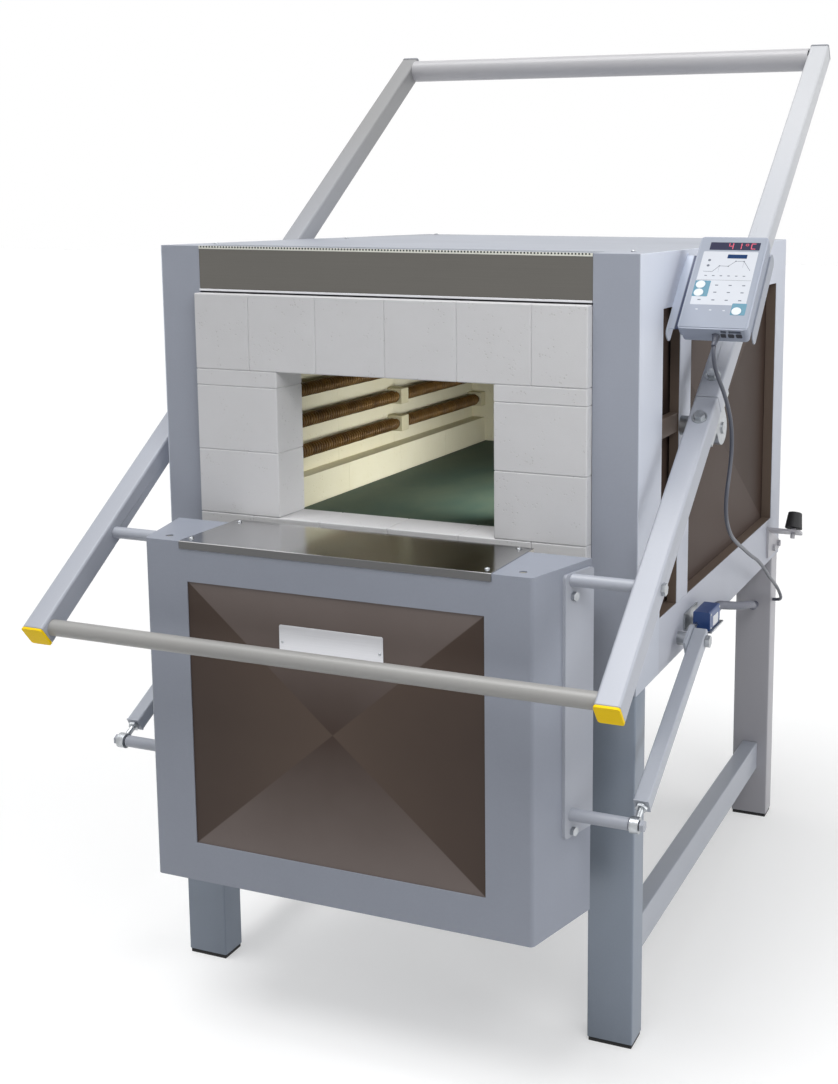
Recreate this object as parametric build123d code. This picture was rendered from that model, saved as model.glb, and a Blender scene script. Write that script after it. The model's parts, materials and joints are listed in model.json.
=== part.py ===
from build123d import *
import math
import os

# Chamber furnace on a stand, with a door that swings down in front of it on a pair of parallel arms.
# X runs to the right, Y from front to back and Z up, in millimetres. Sizes are first written with
# X = 0 in the middle of the casing, Y = 0 on its front and Z = 0 on the floor.

# Casing
casing_width = 880.0
casing_depth = 1020.0
casing_top = 1320.0
casing_bottom = 615.0
sheet = 2.0
column_width = 78.0
column_depth = 118.0
side_rear_margin = 85.0
side_low_margin = 96.0
side_top_margin = 92.0
side_recess = 22.0
side_crease = 3.0
crease_flat = 1.0
fascia_gap = 3.0
vent_strip_depth = 74.0
cover_gap = 1.0

# Stand
leg_width = 80.0
leg_depth = 52.0
leg_wall = 3.0
leg_inset = 2.0
pad_height = 8.0
pad_border = 2.0
leg_setback = 3.0
leg_corner = 3.0
rail_bottom = 116.0
rail_height = 62.0
rail_width = 35.0

# Brick front and chamber
brick_face = -20.0
brick_thickness = 81.0
brick_pitch = 130.0
brick_side_gap = 1.0
first_brick = 107.0
brick_bevel = 1.5
lintel_bottom = 1110.0
lintel_height = 130.0
jamb_course = 112.0
jamb_slip = 28.0
mouth_half = 201.0
chamber_half = 262.0
rear_wall = 130.0
roof_above_lintel = 15.0
wall_brick = 64.0
hearth_below_sill = 8.0
hearth_thickness = 8.0
hearth_gap = 2.0
curb_width = 32.0
curb_height = 54.0
board_gap = 0.5

# Heating elements
first_element_height = 98.0
element_pitch = 56.0
elements_per_side = 3
element_from_wall = 19.0
element_tube_radius = 9.0
element_tube_bore = 5.0
coil_radius = 13.0
coil_clearance = 0.3
element_sides = 16
coil_end_gap = 6.0
holder_lengths = (21.5, 30.0, 23.5)
holder_front_gap = 1.5
holder_rear_gap = 0.5
middle_holder_offset = 20.0
holder_height = 32.0
holder_reach = 34.0

# Door linkage, given in the side view
pivot_y = 232.0
pivot_z = 1021.5
arm_angle = 37.3
arm_size = 40.0
arm_wall = 3.0
arm_corner = 4.5
arm_side_gap = 35.0
arm_front_length = 614.0
arm_rear_length = 1087.0
bearing_height = 33.3
door_pin_from_end = 226.0
link_drop = 377.0
closing_angle = 62.5
handle_from_end = 22.0
handle_radius = 13.5
handle_wall = 2.5
crossbar_from_end = 28.0
crossbar_radius = 24.15
crossbar_wall = 3.0
end_cap_thickness = 4.0
splice_length = 180.0
splice_clearance = 0.4

# Arm bearings
shaft_radius = 10.0
shaft_clearance = 0.05
bearing_base_length = 127.0
bearing_base_thickness = 14.0
bearing_width = 34.0
bearing_housing_radius = 29.0
bearing_bolt_spacing = 100.0
bearing_bolt_radius = 5.0
bolt_hole_clearance = 0.3
washer_radius = 13.0
washer_thickness = 2.0
bolt_head_height = 6.5
bolt_head_across = 17.0
collar_radius = 17.0
collar_gap = 0.5
shaft_end = 3.0
post_width = 66.0
post_depth = 18.0
post_wall = 3.0
post_behind_pivot = 19.0
brace_above_pivot = 7.5
brace_height = 32.0

# Door
door_front_half = 343.0
door_back_half = 383.0
door_front = -198.0
door_back = -54.5
door_top = 851.0
door_bottom = 269.0
door_corner_radius = 8.0
door_panel_side_margin = 78.5
door_panel_low_margin = 66.5
door_panel_top_margin = 66.0
door_panel_overlap = 10.0
door_panel_gap = 0.5
door_panel_crease = 1.5
door_plug_overlap = 76.0
door_plug_rise = 44.0
door_closed_gap = 1.0
door_cover_sheet = 1.5
door_cover_lip = 12.0
lifting_hole_side = 27.0
lifting_hole_back = 28.0
lifting_hole_radius = 6.5
lifting_hole_depth = 40.0
core_inset = 14.0
bar_setback = 71.0
bar_thickness = 5.0
bar_over = 11.0
bar_under = 36.0
bar_corner = 7.0
bar_bolt_drops = (25.5, 27.5)
bar_bolt_behind_pin = 1.6
small_bolt_across = 13.0
small_bolt_height = 6.0
pin_radius = 10.0
pin_bore_clearance = 0.05
pivot_bolt_radius = 5.0
pin_arm_gap = 0.5
pin_boss_radius = 7.5
pin_boss_length = 3.0
pin_nut_across = 16.0
pin_nut_height = 7.0
pin_washer = 1.0
pin_face_gap = 0.4
shoulder_depth = 30.0

# Lower links
link_size = 25.0
link_wall = 2.0
link_corner = 3.0
link_side_gap = 37.0
link_bolt_radius = 6.0
link_bolt_clearance = 0.05
link_spacer_radius = 12.0
link_head_across = 19.0
link_head_height = 8.0
link_lower_cut = 38.0
link_upper_over = 17.0
rod_radius = 5.0
rod_end_radius = 13.0
rod_end_width = 14.0
rod_end_clearance = 0.3
jam_nut_across = 17.0
jam_nut_height = 6.0
rod_in_link = 20.0
cam_radius = 26.0
cam_reach = 34.0
cam_thickness = 4.0

# Door switch
switch_side_gap = 17.0
switch_width = 31.0
switch_behind_pivot = 32.0
switch_length = 66.0
switch_above_pivot = 7.5
switch_height = 34.0
switch_corner = 3.0
switch_bore_depth = 14.0
plunger_radius = 4.0
plunger_in_switch = 10.0
plunger_side_gap = 0.3
plunger_above_pivot = 18.0
plunger_gap = 0.6
bracket_sheet = 3.0
bracket_margin = 4.0
bracket_front = 2.0
bracket_rear = 12.0
bracket_flange = 28.0

# Rubber stops
buffer_from_rear = 87.0
buffer_radius = 19.0
buffer_tip_radius = 15.0
buffer_height = 35.0
buffer_gap = 0.8
buffer_edge = 2.5
buffer_stand_off = 6.0
buffer_stud_radius = 5.0
buffer_stud_below = 11.0
buffer_plate = 5.0
buffer_plate_width = 34.0
buffer_plate_corner = 8.0
buffer_flange_height = 62.0
buffer_flange_rear = 88.0
buffer_bolt_drop = 48.0
buffer_bolt_places = (30.0, 75.0)

# Controller
controller_width = 115.0
controller_height = 198.0
controller_depth = 32.0
controller_side_gap = 30.0
controller_tilt = 45.6
controller_foot_y = 94.6
controller_foot_drop = 119.7
controller_radius = 7.0
controller_front_depth = 18.0
controller_step = 2.5
face_thickness = 0.8
face_border = 3.0
key_radius = 7.8
key_height = 2.0
key_travel = 0.5
key_gap = 0.3
key_places = ((-37.4, -6.6), (-37.4, -23.8), (32.6, -61.1))
socket_places = ((17.5, 9.0), (36.0, 20.0))
socket_out = -6.5
socket_height = 6.0
socket_depth = 8.0
tray_gap = 0.3
tray_sheet = 2.0
tray_reach = 26.0
tray_span = (-85.0, 97.0)
tray_corner = 11.0

# Temperature probe
probe_radius = 6.0
probe_height = 160.0
probe_reach = 60.0
probe_head_radius = 24.0
probe_head_length = 34.0

# Cables, by hand
controller_cable_radius = 3.5
controller_cable_route = (
    (532, 106.0, 1189.1), (532, 88.5, 1171.2), (533, 93, 1147), (533, 114, 1125),
    (534, 142, 1102), (534, 176, 1072), (534, 205, 1036),
    (534, 214, 996), (534, 203, 956), (533, 186, 916), (530, 196, 880), (525, 232, 850),
    (519, 284, 820), (511, 365, 788), (499, 445, 762), (491, 542, 724), (484, 634, 692),
    (477, 720, 654), (470, 805, 612), (464, 880, 580), (462, 930, 553), (462, 966, 524),
    (453, 984, 513), (438, 984, 513),
)
conduit_radius = 8.0
conduit_route = (
    (472, 330, 670), (472, 372, 670), (469, 440, 650), (464, 520, 627), (457, 612, 601),
    (441, 738, 567), (418, 878, 528), (403, 935, 503), (403, 965, 503),
)
cable_arc_share = 0.45
cable_sides = 8


def block(x0, x1, y0, y1, z0, z1):
    """A box from its corner coordinates."""
    return Pos((x0 + x1) / 2, (y0 + y1) / 2, (z0 + z1) / 2) * Box(x1 - x0, y1 - y0, z1 - z0)


def x_rod(radius, x0, x1, y, z):
    """A round bar along X."""
    return Pos((x0 + x1) / 2, y, z) * Rot(0, 90, 0) * Cylinder(radius, x1 - x0)


def y_rod(radius, y0, y1, x, z):
    """A round bar along Y."""
    return Pos(x, (y0 + y1) / 2, z) * Rot(90, 0, 0) * Cylinder(radius, y1 - y0)


def z_rod(radius, z0, z1, x, y):
    """A round bar along Z."""
    return Pos(x, y, (z0 + z1) / 2) * Cylinder(radius, z1 - z0)


def hexagon(across, height):
    """A hexagonal head or nut, standing on its own origin along Z."""
    return extrude(RegularPolygon(across / math.sqrt(3), 6), height)


def rounded_block(x0, x1, y0, y1, z0, z1, corner, axis):
    """A box whose edges along one axis are rounded."""
    body = block(x0, x1, y0, y1, z0, z1)
    return fillet(body.edges().filter_by(axis), corner)


def square_tube(x0, x1, y0, y1, z0, z1, wall, corner):
    """A square tube along Y with rounded corners, open at both ends."""
    inner = block(x0 + wall, x1 - wall, y0 - 1, y1 + 1, z0 + wall, z1 - wall)
    return rounded_block(x0, x1, y0, y1, z0, z1, corner, Axis.Y) - inner


def mirrored(shape):
    """The same piece on the left side."""
    return mirror(shape, about=Plane.YZ)


def both_sides(shapes):
    """The right-hand pieces with their left-hand twins."""
    return list(shapes) + [mirrored(shape) for shape in shapes]


def bevelled(shape):
    """A brick with its edges slightly broken."""
    return chamfer(shape.edges(), brick_bevel)


# Places on the casing and in the chamber
casing_half = casing_width / 2
column_inner = casing_half - column_width
panel_x = casing_half - side_recess
side_window_rear = casing_depth - side_rear_margin
side_window_bottom = casing_bottom + side_low_margin
side_window_top = casing_top - side_top_margin
fascia_bottom = lintel_bottom + lintel_height + fascia_gap
brick_side = column_inner - brick_side_gap
sill_top = lintel_bottom - jamb_slip - 2 * jamb_course
chamber_front = brick_face + brick_thickness
chamber_rear = casing_depth - rear_wall
chamber_roof = lintel_bottom + roof_above_lintel
hearth_top = sill_top - hearth_below_sill
curb_top = hearth_top + curb_height
element_x = chamber_half - element_from_wall
element_rows = [hearth_top + first_element_height + i * element_pitch for i in range(elements_per_side)]
probe_z = hearth_top + probe_height
holder_ends = (chamber_front + holder_front_gap + holder_lengths[0],
               chamber_rear - holder_rear_gap - holder_lengths[2])
middle_holder = sum(holder_ends) / 2 + middle_holder_offset
holder_spans = ((holder_ends[0] - holder_lengths[0], holder_ends[0]),
                (middle_holder - holder_lengths[1] / 2, middle_holder + holder_lengths[1] / 2),
                (holder_ends[1], holder_ends[1] + holder_lengths[2]))
coil_spans = [(before[1] + coil_end_gap, after[0] - coil_end_gap)
              for before, after in zip(holder_spans, holder_spans[1:])]

# Places beside the casing and on the door
arm_inner = casing_half + arm_side_gap
link_x = casing_half + link_side_gap
buffer_y = casing_depth - buffer_from_rear
controller_left = casing_half + controller_side_gap
controller_foot_z = casing_top - controller_foot_drop
door_panel_half = door_front_half - door_panel_side_margin
door_panel_bottom = door_bottom + door_panel_low_margin
door_panel_top = door_top - door_panel_top_margin
door_plug_half = mouth_half + door_plug_overlap
door_plug_bottom = door_bottom + door_plug_rise
lifting_hole_x = door_front_half - lifting_hole_side
lifting_hole_y = door_front + lifting_hole_back
bar_front = door_front + bar_setback

# Points of the linkage in the side view
arm_cos, arm_sin = math.cos(math.radians(arm_angle)), math.sin(math.radians(arm_angle))
arm_offset = bearing_height + arm_size / 2
pin_reach = arm_front_length - door_pin_from_end
door_pin_y = pivot_y - arm_offset * arm_sin - pin_reach * arm_cos
door_pin_z = pivot_z + arm_offset * arm_cos - pin_reach * arm_sin
arm_end_y = door_pin_y - door_pin_from_end * arm_cos
arm_end_z = door_pin_z - door_pin_from_end * arm_sin
link_pivot_z = pivot_z - link_drop
rod_pin_z = door_pin_z - link_drop
link_length = math.hypot(pivot_y - door_pin_y, pivot_z - door_pin_z)
link_angle = math.degrees(math.atan2(pivot_z - door_pin_z, pivot_y - door_pin_y))
arm_outer = arm_inner + arm_size
arm_middle = arm_inner + arm_size / 2
close_cos, close_sin = math.cos(math.radians(closing_angle)), math.sin(math.radians(closing_angle))
closed_pin_y = pivot_y + (door_pin_y - pivot_y) * close_cos + (door_pin_z - pivot_z) * close_sin
closed_pin_z = pivot_z - (door_pin_y - pivot_y) * close_sin + (door_pin_z - pivot_z) * close_cos
door_inward = closed_pin_y - door_pin_y
door_plug_back = brick_face - door_closed_gap - door_inward
door_taper = (door_back_half - door_front_half) / (door_back - door_front)


def arm_place(shape):
    """Moves a piece from the arm's own frame: Y along the arm from its front end, Z its top side."""
    return Pos(0, arm_end_y, arm_end_z) * Rot(arm_angle, 0, 0) * shape


def link_place(shape):
    """Moves a piece from the lower link's own frame: its upper pivot at the origin, Y uphill."""
    return Pos(0, pivot_y, link_pivot_z) * Rot(link_angle, 0, 0) * shape


def controller_place(shape):
    """Moves a piece from the controller's frame: the middle of its front, Y up it, Z out of it."""
    tilt = math.radians(controller_tilt)
    middle_y = controller_foot_y + controller_height / 2 * math.cos(tilt)
    middle_z = controller_foot_z + controller_height / 2 * math.sin(tilt)
    middle_x = controller_left + controller_width / 2
    return Pos(middle_x, middle_y, middle_z) * Rot(controller_tilt, 0, 0) * shape


def door_side_x(y):
    """Half the width of the tapered door shell at a depth."""
    return door_front_half + (y - door_front) * door_taper


# Stand
leg_outer = casing_half - leg_inset
leg_rows = (leg_setback, casing_depth - leg_setback - leg_depth)


def make_legs():
    """Four rectangular tubes under the corners of the casing."""
    legs = []
    for y in leg_rows:
        x = leg_outer - leg_width
        outside = rounded_block(x, leg_outer, y, y + leg_depth, pad_height, casing_bottom,
                                leg_corner, Axis.Z)
        inside = block(x + leg_wall, leg_outer - leg_wall, y + leg_wall, y + leg_depth - leg_wall,
                       pad_height + leg_wall, casing_bottom + 1)
        legs.append(outside - inside)
    return both_sides(legs)


def make_foot_pads():
    """Thin black plates under the legs."""
    pads = []
    for y in leg_rows:
        pads.append(block(leg_outer - leg_width + pad_border, leg_outer - pad_border,
                          y + pad_border, y + leg_depth - pad_border, 0, pad_height))
    return both_sides(pads)


def make_stand_rails():
    """A rail along each side, butted between the legs and in the middle of their width."""
    middle = leg_outer - leg_width / 2
    side = square_tube(middle - rail_width / 2, middle + rail_width / 2, leg_rows[0] + leg_depth,
                       leg_rows[1], rail_bottom, rail_bottom + rail_height, leg_wall, leg_corner)
    return both_sides([side])


# Casing
def make_front_columns():
    """Folded sheet columns either side of the bricks, open to the back."""
    outside = block(column_inner, casing_half, 0, column_depth, casing_bottom, casing_top)
    inside = block(column_inner + sheet, casing_half - sheet, sheet, column_depth + 1,
                   casing_bottom + sheet, casing_top - sheet)
    clear_for_bricks = block(column_inner - 1, column_inner + sheet + 1, chamber_front,
                             column_depth + 1, casing_bottom - 1, casing_top - sheet)
    return both_sides([outside - inside - clear_for_bricks])


def make_side_frames():
    """Side sheets with a large window, whose rim is folded inwards."""
    plate = block(casing_half - sheet, casing_half, column_depth, casing_depth, casing_bottom,
                  casing_top)
    window = block(casing_half - sheet - 1, casing_half + 1, column_depth + sheet, side_window_rear,
                   side_window_bottom, side_window_top)
    rim = block(panel_x, casing_half - sheet, column_depth, side_window_rear + sheet,
                side_window_bottom - sheet, side_window_top + sheet)
    hole = block(panel_x - 1, casing_half, column_depth + sheet, side_window_rear,
                 side_window_bottom, side_window_top)
    return both_sides([plate - window + (rim - hole)])


def creased_plate(width, height, border, rise):
    """A sheet panel on XY, cross-broken upwards from corner to corner inside its flat border."""
    w, h = width - 2 * border, height - 2 * border
    base = Pos(0, 0, sheet / 2) * Box(width, height, sheet)
    crown = Wedge(w, rise, h, w / 2 - crease_flat, h / 2 - crease_flat, w / 2 + crease_flat,
                  h / 2 + crease_flat)
    return base + Pos(0, 0, sheet + rise / 2) * Rot(90, 0, 0) * crown


def make_side_panels():
    """Brown panels set back in the side frames."""
    y0, y1 = column_depth, side_window_rear + sheet
    z0, z1 = side_window_bottom - sheet, side_window_top + sheet
    panel = creased_plate(y1 - y0, z1 - z0, sheet, side_crease)
    wall = Plane(origin=(panel_x - sheet, (y0 + y1) / 2, (z0 + z1) / 2), x_dir=(0, 1, 0), z_dir=(1, 0, 0))
    return both_sides([wall * panel])


def make_top_cover():
    """The vented strip behind the fascia and the cover sheet behind it."""
    strip = block(-column_inner, column_inner, sheet, vent_strip_depth, casing_top - sheet, casing_top)
    side = casing_half - sheet
    cover = block(-side, side, column_depth, casing_depth - sheet, casing_top - sheet, casing_top)
    tongue = block(-column_inner, column_inner, vent_strip_depth + cover_gap, column_depth,
                   casing_top - sheet, casing_top)
    return [strip, cover + tongue]


def make_fascia():
    """Stainless strip above the bricks, with a lip folded under it."""
    face = block(-column_inner, column_inner, 0, sheet, fascia_bottom, casing_top)
    lip = block(-column_inner, column_inner, sheet, column_depth / 2, fascia_bottom,
                fascia_bottom + sheet)
    return face + lip


def make_rear_panel():
    """Back sheet, with a hole for the temperature probe."""
    side = casing_half - sheet
    plate = block(-side, side, casing_depth - sheet, casing_depth, casing_bottom, casing_top - sheet)
    return plate - y_rod(probe_radius + bolt_hole_clearance, casing_depth - 10, casing_depth + 10, 0,
                         probe_z)


def make_front_apron():
    """Sheet under the sill bricks."""
    bottom = casing_bottom + sheet
    top = sill_top - jamb_course
    face = block(-column_inner, column_inner, 0, sheet, bottom, top)
    shelf = block(-column_inner, column_inner, sheet, chamber_front, top - sheet, top)
    return face + shelf


def make_floor_pan():
    """Bottom sheet that carries the insulation."""
    side = column_inner
    wide = casing_half - sheet
    front = block(-side, side, 0, column_depth, casing_bottom, casing_bottom + sheet)
    rear = block(-wide, wide, column_depth, casing_depth - sheet, casing_bottom, casing_bottom + sheet)
    return front + rear


# Bricks
def brick_joints():
    """X of the joints between the bricks of a front course."""
    joints = [-brick_side]
    x = first_brick - brick_side
    while x < brick_side - brick_pitch / 4:
        joints.append(x)
        x += brick_pitch
    return joints + [brick_side]


def front_course(z0, z1):
    """One row of front bricks across the whole furnace."""
    joints = brick_joints()
    return [bevelled(block(x0, x1, brick_face, brick_face + brick_thickness, z0, z1))
            for x0, x1 in zip(joints, joints[1:])]


def make_lintel_bricks():
    """The row over the mouth."""
    return front_course(lintel_bottom, lintel_bottom + lintel_height)


def make_sill_bricks():
    """The row under the mouth."""
    return front_course(sill_top - jamb_course, sill_top)


def make_jamb_bricks():
    """A slip and two full courses on each side of the mouth."""
    bricks = []
    z = lintel_bottom
    for height in (jamb_slip, jamb_course, jamb_course):
        bricks.append(bevelled(block(mouth_half, brick_side, brick_face,
                                     brick_face + brick_thickness, z - height, z)))
        z -= height
    return both_sides(bricks)


floor_level = hearth_top - hearth_thickness
outer_half = chamber_half + wall_brick
outer_rear = chamber_rear + wall_brick


def split(start, end, count):
    """Equal spans between two places."""
    step = (end - start) / count
    return [(start + i * step, start + (i + 1) * step) for i in range(count)]


def make_wall_bricks():
    """Two courses along each side and behind the chamber."""
    bricks = []
    for z0, z1 in split(floor_level, chamber_roof, 2):
        for y0, y1 in split(chamber_front, outer_rear, 4):
            bricks += both_sides([block(chamber_half, outer_half, y0, y1, z0, z1)])
        for x0, x1 in split(-chamber_half, chamber_half, 2):
            brick = block(x0, x1, chamber_rear, outer_rear, z0, z1)
            bricks.append(brick - y_rod(probe_radius + bolt_hole_clearance, chamber_rear - 1,
                                        outer_rear + 1, 0, probe_z))
    return bricks


def make_roof_bricks():
    """Slabs across the chamber."""
    return [block(-outer_half, outer_half, y0, y1, chamber_roof, chamber_roof + wall_brick)
            for y0, y1 in split(chamber_front, outer_rear, 6)]


def make_floor_bricks():
    """Slabs under the hearth."""
    return [block(-outer_half, outer_half, y0, y1, floor_level - wall_brick, floor_level)
            for y0, y1 in split(chamber_front, outer_rear, 6)]


def make_curbs():
    """Low bricks along the foot of each side wall."""
    return both_sides([block(chamber_half - curb_width, chamber_half, y0, y1, floor_level, curb_top)
                       for y0, y1 in split(chamber_front, chamber_rear, 4)])


def make_hearth():
    """The dark plate that the work stands on."""
    side = chamber_half - curb_width - hearth_gap
    return block(-side, side, chamber_front, chamber_rear - hearth_gap, floor_level, hearth_top)


def make_insulation():
    """Fibre boards between the bricks and the casing."""
    boards = []
    side_outer = panel_x - sheet - board_gap
    low = casing_bottom + sheet
    high = chamber_roof + wall_brick
    top = casing_top - sheet - board_gap
    back = casing_depth - sheet - board_gap
    boards += both_sides([block(outer_half, side_outer, column_depth + board_gap, back, low, high)])
    boards.append(block(-outer_half, outer_half, chamber_front, outer_rear, low,
                        floor_level - wall_brick))
    rear = block(-outer_half, outer_half, outer_rear, back, low, high)
    boards.append(rear - y_rod(probe_radius + bolt_hole_clearance, outer_rear - 1, back + 1, 0, probe_z))
    boards.append(block(-outer_half, outer_half, column_depth + board_gap, back, high, top))
    return boards


# Heating elements
def element_ring(outer_radius, inner_radius, y0, y1, z):
    """A sleeve of many flat sides along an element, wide enough for what passes through it."""
    outer = RegularPolygon(outer_radius, element_sides)
    inner = RegularPolygon(inner_radius, element_sides, major_radius=False)
    return Pos(element_x, y1, z) * Rot(90, 0, 0) * extrude(outer - inner, y1 - y0)


def make_element_tubes():
    """Ceramic tubes that carry the heating wire, three on each side."""
    y0, y1 = holder_spans[0][0] + 1, holder_spans[-1][1] - 1
    return both_sides([element_ring(element_tube_radius, element_tube_bore, y0, y1, z)
                       for z in element_rows])


def make_heating_coils():
    """Close-wound wire as sleeves round the ceramic tubes."""
    return both_sides([element_ring(coil_radius, element_tube_radius + coil_clearance, y0, y1, z)
                       for z in element_rows for y0, y1 in coil_spans])


def make_element_holders():
    """Ceramic brackets on the side walls, bored for the tubes."""
    holders = []
    bore = RegularPolygon(element_tube_radius + coil_clearance, element_sides, major_radius=False)
    for z in element_rows:
        for y0, y1 in holder_spans:
            body = block(chamber_half - holder_reach, chamber_half, y0, y1,
                         z - holder_height / 2, z + holder_height / 2)
            holders.append(body - Pos(element_x, y1 + 1, z) * Rot(90, 0, 0) * extrude(bore, y1 - y0 + 2))
    return both_sides(holders)


def make_temperature_probe():
    """A sheathed probe through the back wall, with its connection head outside."""
    sheath = y_rod(probe_radius, chamber_rear - probe_reach, casing_depth, 0, probe_z)
    head = y_rod(probe_head_radius, casing_depth, casing_depth + probe_head_length, 0, probe_z)
    return sheath + head


# Pivots on the furnace
post_face = casing_half
post_back = casing_half - post_depth


def make_pivot_posts():
    """Upright tubes in the side windows with a brace forward to the frame."""
    y0 = pivot_y + post_behind_pivot - post_width / 2
    post = block(post_back, post_face, y0, y0 + post_width, side_window_bottom, side_window_top)
    hollow = block(post_back + post_wall, post_face - post_wall, y0 + post_wall,
                   y0 + post_width - post_wall, side_window_bottom - 1, side_window_top + 1)
    bore = x_rod(shaft_radius, post_back - 1, post_face + 1, pivot_y, pivot_z)
    middle = pivot_z + brace_above_pivot
    brace = block(post_back, post_face - post_wall, column_depth + sheet, y0, middle - brace_height / 2,
                  middle + brace_height / 2)
    return both_sides([post - hollow - bore, brace])


def make_pivot_shafts():
    """Stub shafts welded into the posts, each with a collar beside the bearing."""
    end = arm_middle + bearing_width / 2 + shaft_end
    shaft = x_rod(shaft_radius, post_back, end, pivot_y, pivot_z)
    collar = x_rod(collar_radius, post_face, arm_middle - bearing_width / 2 - collar_gap,
                   pivot_y, pivot_z)
    return both_sides([shaft + collar])


def make_link_bolts():
    """Lower pivots: a spacer against the casing and a bolt with its head outside the link."""
    inner = link_x - link_size / 2 - cam_thickness - pin_arm_gap
    outer = link_x + link_size / 2 + pin_arm_gap
    spacer = x_rod(link_spacer_radius, casing_half, inner, pivot_y, link_pivot_z)
    bolt = x_rod(link_bolt_radius, inner, outer, pivot_y, link_pivot_z)
    head = Pos(outer, pivot_y, link_pivot_z) * Rot(0, 90, 0) * hexagon(link_head_across,
                                                                      link_head_height)
    return both_sides([spacer + bolt + head])


# Arm frame
def arm_tube(s0, s1):
    """One length of arm in the arm's own frame."""
    half = arm_size / 2
    return square_tube(arm_inner, arm_outer, s0, s1, -half, half, arm_wall, arm_corner)


def bearing_bolt_places():
    """Distances of the two bearing bolts from the arm's front end."""
    return [arm_front_length - bearing_bolt_spacing / 2, arm_front_length + bearing_bolt_spacing / 2]


def make_arm():
    """Right arm: a front and a rear tube butted over an inner splice, bored for bolts and pin."""
    total = arm_front_length + arm_rear_length
    front = arm_tube(end_cap_thickness, arm_front_length)
    rear = arm_tube(arm_front_length, total - end_cap_thickness)
    gap = arm_wall + splice_clearance
    splice = block(arm_inner + gap, arm_outer - gap, arm_front_length - splice_length / 2,
                   arm_front_length + splice_length / 2, gap - arm_size / 2, arm_size / 2 - gap)
    pin = x_rod(pivot_bolt_radius + bolt_hole_clearance, arm_inner - 1, arm_outer + 1,
                door_pin_from_end, 0)
    front -= pin
    for s in bearing_bolt_places():
        hole = z_rod(bearing_bolt_radius + bolt_hole_clearance, -arm_size, arm_size, arm_middle, s)
        front, rear, splice = front - hole, rear - hole, splice - hole
    return [arm_place(piece) for piece in (front, rear, splice)]


def make_end_caps():
    """Plastic caps on the four tube ends."""
    total = arm_front_length + arm_rear_length
    half = arm_size / 2
    ends = ((0, end_cap_thickness), (total - end_cap_thickness, total))
    caps = [rounded_block(arm_inner, arm_outer, s0, s1, -half, half, arm_corner, Axis.Y)
            for s0, s1 in ends]
    return both_sides([arm_place(cap) for cap in caps])


def cross_tube(distance, radius, wall):
    """A round tube between the arms."""
    tube = x_rod(radius, -arm_inner, arm_inner, distance, 0)
    return arm_place(tube - x_rod(radius - wall, -arm_inner - 1, arm_inner + 1, distance, 0))


def make_handle_bar():
    """The front bar that the user holds."""
    return cross_tube(handle_from_end, handle_radius, handle_wall)


def make_rear_crossbar():
    """The heavier rear tube that ties the arms."""
    distance = arm_front_length + arm_rear_length - crossbar_from_end
    return cross_tube(distance, crossbar_radius, crossbar_wall)


def make_bearing_blocks():
    """Bearing blocks bolted under the arms, with the pivot bore below the tube."""
    s0, s1 = arm_front_length - bearing_base_length / 2, arm_front_length + bearing_base_length / 2
    top = -arm_size / 2
    axis = -arm_offset
    x0, x1 = arm_middle - bearing_width / 2, arm_middle + bearing_width / 2
    base = block(x0, x1, s0, s1, top - bearing_base_thickness, top)
    hub = x_rod(bearing_housing_radius, x0, x1, arm_front_length, axis)
    neck = block(x0, x1, arm_front_length - bearing_housing_radius, arm_front_length
                 + bearing_housing_radius, axis, top - bearing_base_thickness)
    over = block(x0 - 1, x1 + 1, s0, s1, top, top + bearing_housing_radius)
    body = base + (hub - over) + neck
    body -= x_rod(shaft_radius + shaft_clearance, x0 - 1, x1 + 1, arm_front_length, axis)
    for s in bearing_bolt_places():
        body -= z_rod(bearing_bolt_radius + bolt_hole_clearance, axis, top + 1, arm_middle, s)
    return both_sides([arm_place(body)])


def make_arm_bolts():
    """Bearing bolts with large washers and nuts, and the shoulder bolts of the door pivots."""
    bolts = []
    half = arm_size / 2
    under = -half - bearing_base_thickness
    tip = door_side_x(door_pin_y) + shoulder_depth
    for s in bearing_bolt_places():
        washer = z_rod(washer_radius, half, half + washer_thickness, arm_middle, s)
        shank = z_rod(bearing_bolt_radius, under, half, arm_middle, s)
        head = Pos(arm_middle, s, half + washer_thickness) * hexagon(bolt_head_across, bolt_head_height)
        nut = Pos(arm_middle, s, under - bolt_head_height) * hexagon(bolt_head_across, bolt_head_height)
        bolts.append(washer + shank + head + nut)
    shoulder = x_rod(pivot_bolt_radius, tip, arm_outer, door_pin_from_end, 0)
    cap = Pos(arm_outer, door_pin_from_end, 0) * Rot(0, 90, 0) * hexagon(bolt_head_across,
                                                                          bolt_head_height)
    bolts.append(shoulder + cap)
    return both_sides([arm_place(bolt) for bolt in bolts])


# Door
def door_outline(inset, y0, y1):
    """Plan of the door between two depths, inset from its tapered sides."""
    x0, x1 = door_side_x(y0) - inset, door_side_x(y1) - inset
    return make_face(Polyline((-x0, y0), (x0, y0), (x1, y1), (-x1, y1), close=True))


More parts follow.
